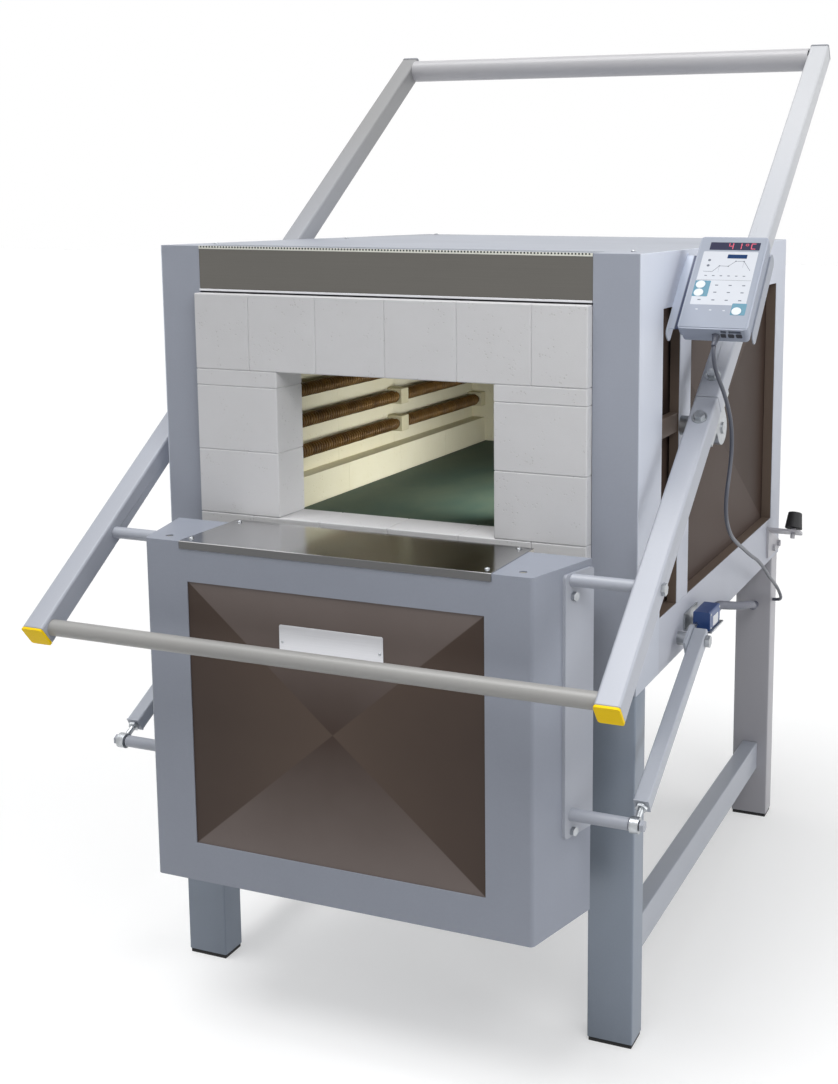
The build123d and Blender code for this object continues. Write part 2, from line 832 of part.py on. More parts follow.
def make_door_shell():
    """Folded tapered shell, open at the back, with a window in its front."""
    outside = Pos(0, 0, door_bottom) * extrude(door_outline(0, door_front, door_back),
                                               door_top - door_bottom)
    upright = [edge for edge in outside.edges().filter_by(Axis.Z)
               if edge.center().Y < door_front + 1]
    outside = fillet(upright, door_corner_radius)
    inside = Pos(0, 0, door_bottom + sheet) * extrude(
        door_outline(sheet, door_front + sheet, door_back + 1), door_top - door_bottom - 2 * sheet)
    inner = [edge for edge in inside.edges().filter_by(Axis.Z)
             if edge.center().Y < door_front + sheet + 1]
    inside = fillet(inner, door_corner_radius - sheet)
    window = block(-door_panel_half, door_panel_half, door_front - 1, door_front + sheet + 1,
                   door_panel_bottom, door_panel_top)
    shell = outside - inside - window
    for x in (-lifting_hole_x, lifting_hole_x):
        shell -= z_rod(lifting_hole_radius, door_top - 10, door_top + 10, x, lifting_hole_y)
    return shell


def make_door_front_panel():
    """Brown panel behind the window of the door."""
    width = 2 * (door_panel_half + door_panel_overlap)
    height = door_panel_top - door_panel_bottom + 2 * door_panel_overlap
    middle_z = (door_panel_top + door_panel_bottom) / 2
    panel = creased_plate(width, height, door_panel_overlap + door_panel_gap, door_panel_crease)
    return Pos(0, door_front + 2 * sheet, middle_z) * Rot(90, 0, 0) * panel


def make_door_top_cover():
    """Stainless sheet over the top edge, with a lip down the front."""
    back = door_plug_back
    front = door_front - door_cover_sheet
    top = block(-door_plug_half, door_plug_half, front, back, door_top, door_top + door_cover_sheet)
    lip = block(-door_plug_half, door_plug_half, front, door_front, door_top - door_cover_lip, door_top)
    return top + lip


def make_door_insulation():
    """The core inside the shell and the plug that closes the mouth."""
    front = door_front + 3 * sheet
    core = Pos(0, 0, door_bottom + sheet) * extrude(door_outline(core_inset, front, door_back),
                                                    door_top - door_bottom - 2 * sheet)
    for x in (-lifting_hole_x, lifting_hole_x):
        core -= z_rod(lifting_hole_radius, door_top - lifting_hole_depth, door_top, x, lifting_hole_y)
    plug = block(-door_plug_half, door_plug_half, door_back, door_plug_back, door_plug_bottom,
                 door_top)
    return [core, plug]


def make_door_bars():
    """Flat bars on the tapered sides with the round pins that stand out to the arms."""
    y0, y1 = bar_front, door_back - sheet
    z0, z1 = rod_pin_z - bar_under, door_pin_z + bar_over
    face_x = door_side_x(door_pin_y)
    plan = make_face(Polyline((door_side_x(y0), y0), (door_side_x(y0) + bar_thickness, y0),
                              (door_side_x(y1) + bar_thickness, y1), (door_side_x(y1), y1), close=True))
    silhouette = rounded_block(0, arm_inner, y0, y1, z0, z1, bar_corner, Axis.X)
    bar = Pos(0, 0, z0) * extrude(plan, z1 - z0) & silhouette
    inside = Pos(0, 0, z0) * extrude(make_face(Polyline(
        (0, y0), (door_side_x(y0) + bar_thickness, y0), (door_side_x(y1) + bar_thickness, y1),
        (0, y1), close=True)), z1 - z0)
    bore = x_rod(pivot_bolt_radius + pin_bore_clearance, face_x, arm_outer, door_pin_y, door_pin_z)
    upper = x_rod(pin_radius, face_x, arm_inner - pin_arm_gap, door_pin_y, door_pin_z)
    eye_inner, eye_outer = link_x - rod_end_width / 2, link_x + rod_end_width / 2
    tube_end = eye_inner - pin_boss_length
    nut_face = eye_outer + pin_washer
    lower = x_rod(pin_radius, face_x, tube_end, door_pin_y, rod_pin_z)
    boss = x_rod(pin_boss_radius, tube_end, eye_inner - pin_face_gap, door_pin_y, rod_pin_z)
    stud = x_rod(pivot_bolt_radius, tube_end, nut_face, door_pin_y, rod_pin_z)
    nut = Pos(nut_face, door_pin_y, rod_pin_z) * Rot(0, 90, 0) * hexagon(pin_nut_across, pin_nut_height)
    return both_sides([bar, upper - inside - bore, lower - inside + boss + stud + nut])


def make_door_bolts():
    """Hexagon bolts that hold the bars to the door."""
    bolts = []
    angle = math.degrees(math.atan(door_taper))
    y = door_pin_y + bar_bolt_behind_pin
    x = door_side_x(y) + bar_thickness
    for pin_z, drop in zip((door_pin_z, rod_pin_z), bar_bolt_drops):
        bolts.append(Pos(x, y, pin_z - drop) * Rot(0, 0, -angle) * Rot(0, 90, 0)
                     * hexagon(small_bolt_across, small_bolt_height))
    return both_sides(bolts)


# Lower links
def make_link_tube():
    """Square tube with a rounded cam cheek on the casing side of its upper pivot."""
    half = link_size / 2
    tube = square_tube(link_x - half, link_x + half, link_lower_cut - link_length, link_upper_over,
                       -half, half, link_wall, link_corner)
    plate_y = link_lower_cut - link_length
    foot = block(link_x - half, link_x + half, plate_y - link_wall, plate_y, -half, half)
    foot -= y_rod(rod_radius, plate_y - link_wall - 1, plate_y + 1, link_x, 0)
    x0, x1 = link_x - half - cam_thickness, link_x - half
    cheek = x_rod(cam_radius, x0, x1, 0, 0) + block(x0, x1, -cam_reach, 0, 0, cam_radius)
    body = tube + foot + cheek
    body -= x_rod(link_bolt_radius + link_bolt_clearance, x0 - 1, link_x + half + 1, 0, 0)
    return link_place(body)


def make_rod_end():
    """Threaded rod with a jam nut and an eye for the door's lower pin."""
    eye_y = -link_length
    plate_y = link_lower_cut - link_length - link_wall
    x0, x1 = link_x - rod_end_width / 2, link_x + rod_end_width / 2
    eye = x_rod(rod_end_radius, x0, x1, eye_y, 0)
    shank = y_rod(rod_radius, eye_y + rod_end_radius - 2, plate_y + rod_in_link, link_x, 0)
    nut = Pos(link_x, plate_y, 0) * Rot(90, 0, 0) * hexagon(jam_nut_across, jam_nut_height)
    body = eye + shank + nut
    body -= x_rod(pivot_bolt_radius + rod_end_clearance, x0 - 1, x1 + 1, eye_y, 0)
    return link_place(body)


# Door switch
switch_x = (casing_half + switch_side_gap, casing_half + switch_side_gap + switch_width)
switch_y = (pivot_y + switch_behind_pivot, pivot_y + switch_behind_pivot + switch_length)
switch_z = (link_pivot_z + switch_above_pivot, link_pivot_z + switch_above_pivot + switch_height)
plunger_x = link_x - link_size / 2 - cam_thickness / 2
plunger_z = link_pivot_z + plunger_above_pivot


def make_switch_bracket():
    """Folded bracket that holds the door switch on the side of the casing."""
    x0, x1 = casing_half, switch_x[1] + bracket_margin
    y0, y1 = switch_y[0] - bracket_front, switch_y[1] + bracket_rear
    top = switch_z[0]
    shelf = block(x0, x1, y0, y1, top - bracket_sheet, top)
    flange = block(x0, x0 + bracket_sheet, y0, y1, top, top + bracket_flange)
    return shelf + flange


def make_limit_switch():
    """Switch body, bored for its plunger."""
    body = rounded_block(*switch_x, *switch_y, *switch_z, switch_corner, Axis.Y)
    return body - y_rod(plunger_radius + plunger_side_gap, switch_y[0] - 1,
                        switch_y[0] + switch_bore_depth, plunger_x, plunger_z)


def make_switch_plunger():
    """Sprung pin that stands just off the rim of the cam."""
    low = plunger_above_pivot - plunger_radius
    tip = pivot_y + math.sqrt(cam_radius ** 2 - low ** 2) + plunger_gap
    return y_rod(plunger_radius, tip, switch_y[0] + plunger_in_switch, plunger_x, plunger_z)


# Rubber stops
stop_tilt = closing_angle - arm_angle
stop_cos, stop_sin = math.cos(math.radians(stop_tilt)), math.sin(math.radians(stop_tilt))
stop_reach = (buffer_y - pivot_y - bearing_height * stop_sin) / stop_cos
stop_seat = -buffer_gap - buffer_height - buffer_stand_off


def stop_place(shape):
    """Moves a piece from the stop's frame: on the closed arm's lower side, with Z square to it."""
    side = Rot(-stop_tilt, 0, 0)
    return Pos(0, pivot_y, pivot_z) * side * Pos(0, stop_reach, bearing_height) * shape


def make_buffer_brackets():
    """Brackets on the sides of the casing, each with a tilted shelf, a stud and two bolts."""
    x0, x1 = casing_half, arm_middle + buffer_radius
    half = buffer_plate_width / 2
    low = stop_seat - buffer_plate
    shelf = block(x0, x1, -half, half, low, stop_seat)
    outer = [edge for edge in shelf.edges().filter_by(Axis.Z) if edge.center().X > x1 - 1]
    shelf = fillet(outer, buffer_plate_corner)
    stud = z_rod(buffer_stud_radius, low - buffer_stud_below, -buffer_gap - buffer_height, arm_middle, 0)
    middle_y = pivot_y + stop_reach * stop_cos + (bearing_height + stop_seat) * stop_sin
    middle_z = pivot_z - stop_reach * stop_sin + (bearing_height + stop_seat) * stop_cos
    flange = block(x0, x0 + buffer_plate, middle_y - half, middle_y + buffer_flange_rear,
                   middle_z - buffer_flange_height, middle_z + half)
    above = block(x0 - 1, x0 + buffer_plate + 1, -casing_depth / 4, casing_depth / 4, stop_seat,
                  stop_seat + buffer_flange_height)
    bracket = stop_place(shelf + stud) + (flange - stop_place(above))
    for place in buffer_bolt_places:
        bracket += (Pos(x0 + buffer_plate, middle_y + place, middle_z - buffer_bolt_drop)
                    * Rot(0, 90, 0) * hexagon(small_bolt_across, small_bolt_height))
    return both_sides([bracket])


def make_rubber_buffers():
    """Tapered rubber stops that meet the arms squarely when the door is closed."""
    cone = Cone(buffer_radius, buffer_tip_radius, buffer_height)
    top = [edge for edge in cone.edges() if edge.center().Z > buffer_height / 2 - 1]
    cone = fillet(top, buffer_edge)
    return both_sides([stop_place(Pos(arm_middle, 0, -buffer_gap - buffer_height / 2) * cone)])


# Controller
def make_controller_housing():
    """Plastic case in two steps, with rounded corners, key wells and sockets in its lower end."""
    half_w, half_h = controller_width / 2, controller_height / 2
    case = rounded_block(-half_w, half_w, -half_h, half_h, -controller_front_depth, 0,
                         controller_radius, Axis.Z)
    half_w, half_h = half_w - controller_step, half_h - controller_step
    case += rounded_block(-half_w, half_w, -half_h, half_h, -controller_depth, -controller_front_depth,
                          controller_radius, Axis.Z)
    for x, y in key_places:
        case -= Pos(x, y, -key_height / 2) * Cylinder(key_radius + key_gap, key_height)
    end = -controller_height / 2
    for x, width in socket_places:
        case -= block(x - width / 2, x + width / 2, end - 1, end + socket_depth,
                      socket_out - socket_height / 2, socket_out + socket_height / 2)
    return controller_place(case)


def make_controller_face():
    """Membrane on the front of the case, pierced for the keys."""
    face = Pos(0, 0, face_thickness / 2) * Box(controller_width - 2 * face_border,
                                               controller_height - 2 * face_border, face_thickness)
    for x, y in key_places:
        face -= Pos(x, y, 0) * Cylinder(key_radius + key_gap, 3 * face_thickness)
    return controller_place(face)


def make_key(place):
    """One round key, proud of the membrane by its travel."""
    x, y = place
    low = -key_height + key_travel + key_gap
    high = face_thickness + key_travel
    return controller_place(Pos(x, y, (low + high) / 2) * Cylinder(key_radius, high - low))


def make_controller_bracket():
    """Channel behind the case, bolted by its left flange to the side of the casing."""
    x0 = casing_half - (controller_left + controller_width / 2)
    x1 = controller_width / 2
    back = -controller_depth - tray_gap
    y0, y1 = tray_span
    web = block(x0, x1, y0, y1, back - tray_sheet, back)
    flanges = rounded_block(x0, x1, y0, y1, back - tray_reach, back, tray_corner, Axis.X)
    between = block(x0 + tray_sheet, x1 - tray_sheet, y0 - 1, y1 + 1, back - tray_reach - 1, back + 1)
    trimmed = web & block(x0, x1, y0 + tray_corner, y1 - tray_corner, back - tray_sheet, back)
    return controller_place(flanges - between + trimmed)


# Cables
def cable_path(points):
    """Straight runs joined by the largest tangent arcs that the runs allow."""
    spots = [Vector(*point) for point in points]
    radii = []
    for before, here, after in zip(spots, spots[1:], spots[2:]):
        run = min((here - before).length, (after - here).length)
        turn = math.radians((here - before).get_angle(after - here))
        radii.append(cable_arc_share * run / math.tan(turn / 2))
    return FilletPolyline(*spots, radius=radii), radii


def make_cable(name, points, radius):
    """A cable of many flat sides along its route, with its bends and volume reported."""
    path, radii = cable_path(points)
    section = Plane(origin=path @ 0, z_dir=path % 0) * RegularPolygon(radius, cable_sides)
    tube = sweep(section, path=path)
    expected = section.area * path.length
    print(name, "length", round(path.length, 1), "least bend", round(min(radii), 1),
          "volume ratio", round(tube.volume / expected, 4))
    print(name, "bends", [round(value) for value in radii])
    return tube


pieces = {
    "legs": make_legs(),
    "foot_pads": make_foot_pads(),
    "stand_rails": make_stand_rails(),
    "front_columns": make_front_columns(),
    "side_frames": make_side_frames(),
    "side_panels": make_side_panels(),
    "top_cover": make_top_cover(),
    "fascia_strip": [make_fascia()],
    "rear_panel": [make_rear_panel()],
    "front_apron": [make_front_apron()],
    "floor_pan": [make_floor_pan()],
    "lintel_bricks": make_lintel_bricks(),
    "jamb_bricks": make_jamb_bricks(),
    "sill_bricks": make_sill_bricks(),
    "wall_bricks": make_wall_bricks(),
    "roof_bricks": make_roof_bricks(),
    "floor_bricks": make_floor_bricks(),
    "curb_bricks": make_curbs(),
    "hearth_plate": [make_hearth()],
    "insulation_boards": make_insulation(),
    "element_tubes": make_element_tubes(),
    "heating_coils": make_heating_coils(),
    "element_holders": make_element_holders(),
    "temperature_probe": [make_temperature_probe()],
    "pivot_posts": make_pivot_posts(),
    "pivot_shafts": make_pivot_shafts(),
    "link_bolts": make_link_bolts(),
    "switch_bracket": [make_switch_bracket()],
    "limit_switch": [make_limit_switch()],
    "switch_plunger": [make_switch_plunger()],
    "buffer_brackets": make_buffer_brackets(),
    "rubber_buffers": make_rubber_buffers(),
    "controller_bracket": [make_controller_bracket()],
    "controller_housing": [make_controller_housing()],
    "controller_face": [make_controller_face()],
    "controller_cable": [make_cable("controller_cable", controller_cable_route,
                                    controller_cable_radius)],
    "switch_conduit": [make_cable("switch_conduit", conduit_route, conduit_radius)],
    "arm_right": make_arm(),
    "arm_left": [mirrored(piece) for piece in make_arm()],
    "end_caps": make_end_caps(),
    "handle_bar": [make_handle_bar()],
    "rear_crossbar": [make_rear_crossbar()],
    "bearing_blocks": make_bearing_blocks(),
    "arm_bolts": make_arm_bolts(),
    "door_shell": [make_door_shell()],
    "door_front_panel": [make_door_front_panel()],
    "door_top_cover": [make_door_top_cover()],
    "door_insulation": make_door_insulation(),
    "door_bars": make_door_bars(),
    "door_bolts": make_door_bolts(),
    "link_right": [make_link_tube()],
    "link_left": [mirrored(make_link_tube())],
    "rod_end_right": [make_rod_end()],
    "rod_end_left": [mirrored(make_rod_end())],
}
for number, place in enumerate(key_places, start=1):
    pieces[f"controller_key_{number}"] = [make_key(place)]

# The finished part stands on the floor with its origin under the middle of its bounding box
cable_nodes = ("controller_cable", "switch_conduit")
body_boxes = [piece.bounding_box() for name, group in pieces.items() if name not in cable_nodes
              for piece in group]
shift_x = -(min(box.min.X for box in body_boxes) + max(box.max.X for box in body_boxes)) / 2
shift_y = -(min(box.min.Y for box in body_boxes) + max(box.max.Y for box in body_boxes)) / 2
print("shift", round(shift_x, 4), round(shift_y, 4))
print("arm pivot", pivot_y, pivot_z, "door pin", round(door_pin_y, 4), round(door_pin_z, 4),
      "link pivot", pivot_y, link_pivot_z, "rod pin", round(rod_pin_z, 4), "stop reach", round(stop_reach, 3),
      "plug back", round(door_plug_back, 3), "door rise", round(closed_pin_z - door_pin_z, 3))

os.makedirs("parts", exist_ok=True)
for name, group in pieces.items():
    solids = [solid for piece in group for solid in piece.solids()]
    placed = [Pos(shift_x, shift_y, 0) * solid for solid in solids]
    export_step(placed[0] if len(placed) == 1 else Compound(children=placed), f"parts/{name}.step")
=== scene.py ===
"""Looks of the heat treating furnace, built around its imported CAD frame.

Every piece is in metres in the frame's own axes. Places that come from the part's drawing are in
millimetres and go through place().
"""
from __future__ import annotations

import json
import logging
import math
from dataclasses import dataclass, field
from enum import Enum
from typing import Any, Iterable, Sequence

import bmesh
import bpy
from mathutils import Matrix, Vector
from mathutils.bvhtree import BVHTree

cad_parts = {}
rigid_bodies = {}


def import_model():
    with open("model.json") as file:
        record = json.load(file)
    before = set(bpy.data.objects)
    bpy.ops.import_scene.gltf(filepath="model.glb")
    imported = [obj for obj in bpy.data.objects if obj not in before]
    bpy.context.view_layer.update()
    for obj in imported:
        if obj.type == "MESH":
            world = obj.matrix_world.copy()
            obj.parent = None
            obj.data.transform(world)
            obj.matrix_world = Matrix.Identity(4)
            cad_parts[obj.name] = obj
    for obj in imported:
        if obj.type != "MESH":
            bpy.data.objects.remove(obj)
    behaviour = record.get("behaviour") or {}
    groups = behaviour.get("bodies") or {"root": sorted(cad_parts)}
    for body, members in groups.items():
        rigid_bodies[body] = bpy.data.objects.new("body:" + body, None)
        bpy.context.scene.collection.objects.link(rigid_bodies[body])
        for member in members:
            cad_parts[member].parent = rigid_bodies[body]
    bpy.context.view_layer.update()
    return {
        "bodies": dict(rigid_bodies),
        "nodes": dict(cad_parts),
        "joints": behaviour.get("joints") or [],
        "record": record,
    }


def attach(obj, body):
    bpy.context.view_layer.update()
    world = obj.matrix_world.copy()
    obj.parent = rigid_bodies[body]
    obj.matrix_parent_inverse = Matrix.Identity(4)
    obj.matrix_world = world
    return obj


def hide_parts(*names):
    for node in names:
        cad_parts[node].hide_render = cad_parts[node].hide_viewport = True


log = logging.getLogger("furnace")

MM = 0.001
DRAWING_ORIGIN = Vector((31.75, 387.8303, 0.0))
MIDDLE_X = -0.03175  # the casing's middle from side to side, in the frame
Tone = tuple[float, float, float, float]
Pair = tuple[float, float]
Point = tuple[float, float, float]


def place(x: float, y: float, z: float) -> Vector:
    """Turns a point of the drawing, in millimetres, into the frame's metres."""
    return (Vector((x, y, z)) - DRAWING_ORIGIN) * MM


def tone(red: int, green: int, blue: int) -> Tone:
    """Turns a colour written as screen values from 0 to 255 into the linear one that shaders take."""
    def linear(value: int) -> float:
        share = value / 255
        return share / 12.92 if share <= 0.04045 else ((share + 0.055) / 1.055) ** 2.4
    return (linear(red), linear(green), linear(blue), 1.0)


def deeper(colour: Sequence[float], share: float) -> Tone:
    """A colour times a share."""
    return (colour[0] * share, colour[1] * share, colour[2] * share, 1.0)


class Body(Enum):
    """The bodies that pieces ride on."""

    FURNACE = "furnace"
    ARMS = "arm_frame"
    DOOR = "door"
    RIGHT_LINK = "lower_link_right"
    LEFT_LINK = "lower_link_left"
    KEY_1 = "key_1"
    KEY_2 = "key_2"
    KEY_3 = "key_3"


class NodeBuilder:
    """Adds nodes to one shader or geometry tree."""

    def __init__(self, tree: bpy.types.NodeTree) -> None:
        """Keeps the tree that the nodes go to."""
        self.tree = tree

    def add(self, kind: str, settings: dict[str, Any] | None = None,
            inputs: dict[Any, Any] | None = None) -> bpy.types.Node:
        """Adds a node.

        Args:
            kind: The node's type.
            settings: Its own settings, set first. "stops" holds a ramp's (position, colour) pairs.
            inputs: Values or sockets for its inputs, by place, name or identifier.

        Returns:
            The node.
        """
        node = self.tree.nodes.new(kind)
        for name, value in (settings or {}).items():
            if name == "stops":
                while len(node.color_ramp.elements) < len(value):
                    node.color_ramp.elements.new(1.0)
                for stop, (position, colour) in zip(node.color_ramp.elements, value):
                    stop.position, stop.color = position, colour
            else:
                setattr(node, name, value)
        for key, value in (inputs or {}).items():
            socket = self.input(node, key)
            source = value.socket if isinstance(value, Value) else value
            if isinstance(source, bpy.types.NodeSocket):
                self.tree.links.new(source, socket)
            else:
                socket.default_value = source
        return node

    @staticmethod
    def input(node: bpy.types.Node, key: int | str) -> bpy.types.NodeSocket:
        """Finds a node's input by its place, its identifier or its name."""
        if isinstance(key, int):
            return node.inputs[key]
        return next((s for s in node.inputs if s.identifier == key), None) or node.inputs[key]

    def value(self, kind: str, settings: dict[str, Any] | None = None,
              inputs: dict[Any, Any] | None = None, output: int | str = 0) -> "Value":
        """Adds a node and gives one of its outputs as a number to reckon with."""
        return Value(self, self.add(kind, settings, inputs).outputs[output])


@dataclass(frozen=True)
class Value:
    """A number socket that Python's operators work on, each adding its Math node."""

    builder: NodeBuilder
    socket: bpy.types.NodeSocket

    def maths(self, operation: str, first: Any, second: Any = 0.0, clamp: bool = False) -> "Value":
        """Adds a Math node for two values or numbers and gives its result."""
        return self.builder.value("ShaderNodeMath", {"operation": operation, "use_clamp": clamp},
                                  {0: first, 1: second})

    def __add__(self, other: "Value | float") -> "Value":
        """Adds a value or a number."""
        return self.maths("ADD", self, other)

    __radd__ = __add__

    def __sub__(self, other: "Value | float") -> "Value":
        """Takes away a value or a number."""
        return self.maths("SUBTRACT", self, other)

    def __rsub__(self, other: float) -> "Value":
        """Takes this value from a number."""
        return self.maths("SUBTRACT", other, self)

    def __mul__(self, other: "Value | float") -> "Value":
        """Multiplies by a value or a number."""
        return self.maths("MULTIPLY", self, other)

    __rmul__ = __mul__

    def __truediv__(self, other: "Value | float") -> "Value":
        """Divides by a value or a number."""
        return self.maths("DIVIDE", self, other)

    def __rtruediv__(self, other: float) -> "Value":
        """Divides a number by this value."""
        return self.maths("DIVIDE", other, self)

    def size(self) -> "Value":
        """The value without its sign."""
        return self.maths("ABSOLUTE", self)

    def held(self) -> "Value":
        """The value held between 0 and 1."""
        return self.maths("ADD", self, 0.0, clamp=True)

    def over(self, other: "Value | float", spread: float) -> "Value":
        """Rises from 0 to 1 as the value passes another one, over a spread."""
        return ((self - other) / spread + 0.5).held()


class FinishTree(NodeBuilder):
    """A material's nodes, with the patterns that several finishes share."""

    def __init__(self, name: str) -> None:
        """Makes an empty material."""
        self.material = bpy.data.materials.new(name)
        self.material.use_nodes = True
        super().__init__(self.material.node_tree)
        self.tree.nodes.clear()
        self.spot = self.add("ShaderNodeTexCoord").outputs["Object"]

    def axes(self) -> tuple[Value, Value, Value]:
        """The place on the object as three numbers, in metres."""
        parts = self.add("ShaderNodeSeparateXYZ", inputs={0: self.spot})
        return tuple(Value(self, parts.outputs[i]) for i in range(3))

    def stretched(self, scale: Point, turn: Point = (0, 0, 0)) -> bpy.types.NodeSocket:
        """The place on the object, scaled by axis and turned."""
        return self.add("ShaderNodeMapping", inputs={"Vector": self.spot, "Scale": scale,
                                                     "Rotation": turn}).outputs[0]

    def noise(self, scale: float, detail: float = 2.0, roughness: float = 0.5,
              stretch: Point = (1, 1, 1), turn: Point = (0, 0, 0)) -> Value:
        """Soft noise from 0 to 1.

        Args:
            scale: Bumps per metre, about.
            detail: Octaves.
            roughness: Strength of the finer octaves.
            stretch: Scale by axis on top.
            turn: Turn of the pattern in radians.

        Returns:
            The noise as a value.
        """
        return self.value("ShaderNodeTexNoise", {"noise_dimensions": "3D"}, {
            "Vector": self.stretched(stretch, turn), "Scale": scale, "Detail": detail,
            "Roughness": roughness})

    def cells(self, scale: float) -> Value:
        """Distance to the middle of the nearest cell of a random pattern."""
        return self.value("ShaderNodeTexVoronoi", {"feature": "F1"},
                          {"Vector": self.spot, "Scale": scale, "Randomness": 1.0}, "Distance")

    def mixed(self, share: Value | float, first: Any, second: Any) -> bpy.types.NodeSocket:
        """Mixes two colours by a share from 0 to 1."""
        return self.add("ShaderNodeMix", {"data_type": "RGBA"}, {
            "Factor_Float": share, "A_Color": first, "B_Color": second}).outputs[2]

    def bump(self, height: Value, distance: float, strength: float = 1.0) -> bpy.types.NodeSocket:
        """A normal from a height pattern whose full rise is the distance, in metres."""
        return self.add("ShaderNodeBump", inputs={"Strength": strength, "Distance": distance,
                                                  "Height": height}).outputs[0]

    def surface(self, **inputs: Any) -> bpy.types.Material:
        """Ends the tree with the main shader.

        Args:
            inputs: Its sockets by name, with _ for a space.

        Returns:
            The material.
        """
        shader = self.add("ShaderNodeBsdfPrincipled",
                          inputs={name.replace("_", " "): v for name, v in inputs.items()})
        self.add("ShaderNodeOutputMaterial", inputs={"Surface": shader.outputs[0]})
        return self.material


@dataclass(frozen=True)
class Finish:
    """A finish with a name. Each kind lays its own nodes once."""

    name: str

    def material(self) -> bpy.types.Material:
        """The finish's material, made at its first use."""
        return bpy.data.materials.get(self.name) or self.lay(FinishTree(self.name))

    def lay(self, tree: FinishTree) -> bpy.types.Material:
        """Lays the nodes of this kind of finish."""
        raise NotImplementedError


@dataclass(frozen=True)
class SatinPaint(Finish):
    """Baked satin paint on sheet and tube, faintly mottled, with a fine orange peel."""

    colour: Tone
    shade: float = 0.035
    gloss: float = 0.5
    coat: float = 0.12

    def lay(self, tree: FinishTree) -> bpy.types.Material:
        """Cloudy tone, smudged gloss and orange peel."""
        cloud = tree.noise(3.0, 4.0, 0.55)
        grain = tree.noise(260.0, 2.0)
        smudge = tree.noise(11.0, 5.0, 0.65)
        dark, light = (deeper(self.colour, 1 + share * self.shade) for share in (-2.4, 1.6))
        base = tree.mixed((cloud * 0.8 + grain * 0.2).over(0.5, 0.55), dark, light)
        return tree.surface(
            Base_Color=self.masked(tree, base), Roughness=0.42 + 0.12 * (smudge - 0.5) + 0.05 * (grain - 0.5),
            Normal=tree.bump(tree.noise(420.0, 3.0), 0.00003, 0.6), Specular_IOR_Level=self.gloss,
            Coat_Weight=self.coat, Coat_Roughness=0.22)

    def masked(self, tree: FinishTree, base: bpy.types.NodeSocket) -> bpy.types.NodeSocket:
        """The paint's tone, the same everywhere on this kind."""
        return base


@dataclass(frozen=True)
class SidePaint(SatinPaint):
    """Paint with a painted highlight that grows towards the top of the casing's sides, where the light from
    the right falls strongest.
    """

    # upper: the painted highlight's tone.
    upper: Tone = (0.74, 0.78, 0.88, 1.0)
    reach: float = 0.4386

    def lighter(self, tree: FinishTree, base: Any) -> bpy.types.NodeSocket:
        """A painted highlight: a tone that turns into the lit upper one over most of the casing's height."""
        return tree.mixed(tree.axes()[2].over(0.98, 0.9), base, self.upper)


@dataclass(frozen=True)
class WindowedPaint(SidePaint):
    """The side sheets' paint, with the painted highlight towards the top. Its folded window rim has the brown
    of the panel behind it, in a tone lighter than the panel's own as painted light against the rim's shade,
    and the same brown is painted shade on the pivot posts' sides inside the window.
    """

    # rim: the panel's brown, lighter than the panel as painted light against the rim's shade, and painted
    # shade on the posts' sides.
    rim: Tone = tone(114, 100, 90)
    middle: Point = (MIDDLE_X, 0.13867, 0.9695)
    half: Pair = (0.4115, 0.2615)

    def masked(self, tree: FinishTree, base: bpy.types.NodeSocket) -> bpy.types.NodeSocket:
        """A painted highlight on the upper part, and the rim's brown, partly painted light and shade, inside
        the window and behind the outer face.
        """
        inside = [(half - (axis - mid).size()).over(0.0, 0.0005)
                  for axis, mid, half in zip(tree.axes(), self.middle, (self.reach, *self.half))]
        return tree.mixed(inside[0] * inside[1] * inside[2], self.lighter(tree, base), self.rim)


@dataclass(frozen=True)
class ColumnPaint(SidePaint):
    """The columns' paint, with a painted highlight on the outer sides that face the light, growing towards
    the top.
    """

    # side: the painted highlight's tone on the outer sides.
    side: Tone = (0.5, 0.53, 0.6, 1.0)

    def masked(self, tree: FinishTree, base: bpy.types.NodeSocket) -> bpy.types.NodeSocket:
        """The painted highlight's tone on the outer sides, from their roundings outwards."""
        outer = (tree.axes()[0] - MIDDLE_X).size().over(self.reach, 0.0016)
        return tree.mixed(outer, base, self.lighter(tree, self.side))


@dataclass(frozen=True)
class BracketPaint(SatinPaint):
    """The controller bracket's paint, with a painted highlight on its flange and deep blue painted shade in
    the gap beside the case.
    """

    # flange: painted highlight; gap: painted shade.
    flange: Tone = (0.6, 0.65, 0.76, 1.0)
    gap: Tone = (0.05, 0.065, 0.13, 1.0)
    start: float = 0.4215
    end: float = 0.4405

    def masked(self, tree: FinishTree, base: bpy.types.NodeSocket) -> bpy.types.NodeSocket:
        """The flange's painted highlight at the casing, then the gap's painted shade, then the plain paint.
        """
        across = tree.axes()[0]
        beside = tree.mixed(across.over(self.start, 0.002), self.flange, self.gap)
        return tree.mixed(across.over(self.end, 0.002), beside, base)


@dataclass(frozen=True)
class StandPaint(SatinPaint):
    """Paint of the stand and the arms, with a painted tone on their rear: a painted highlight on the right
    arm and the stand, painted shade on the left arm.
    """

    # behind: the rear's tone of painted light and shade, set for each use.
    behind: Tone = (0.2, 0.19, 0.2, 1.0)
    spread: float = 0.02

    def masked(self, tree: FinishTree, base: bpy.types.NodeSocket) -> bpy.types.NodeSocket:
        """The rear's painted light and shade tone, behind the casing's middle."""
        return tree.mixed(tree.axes()[1].over(self.spread / 4, self.spread), base, self.behind)


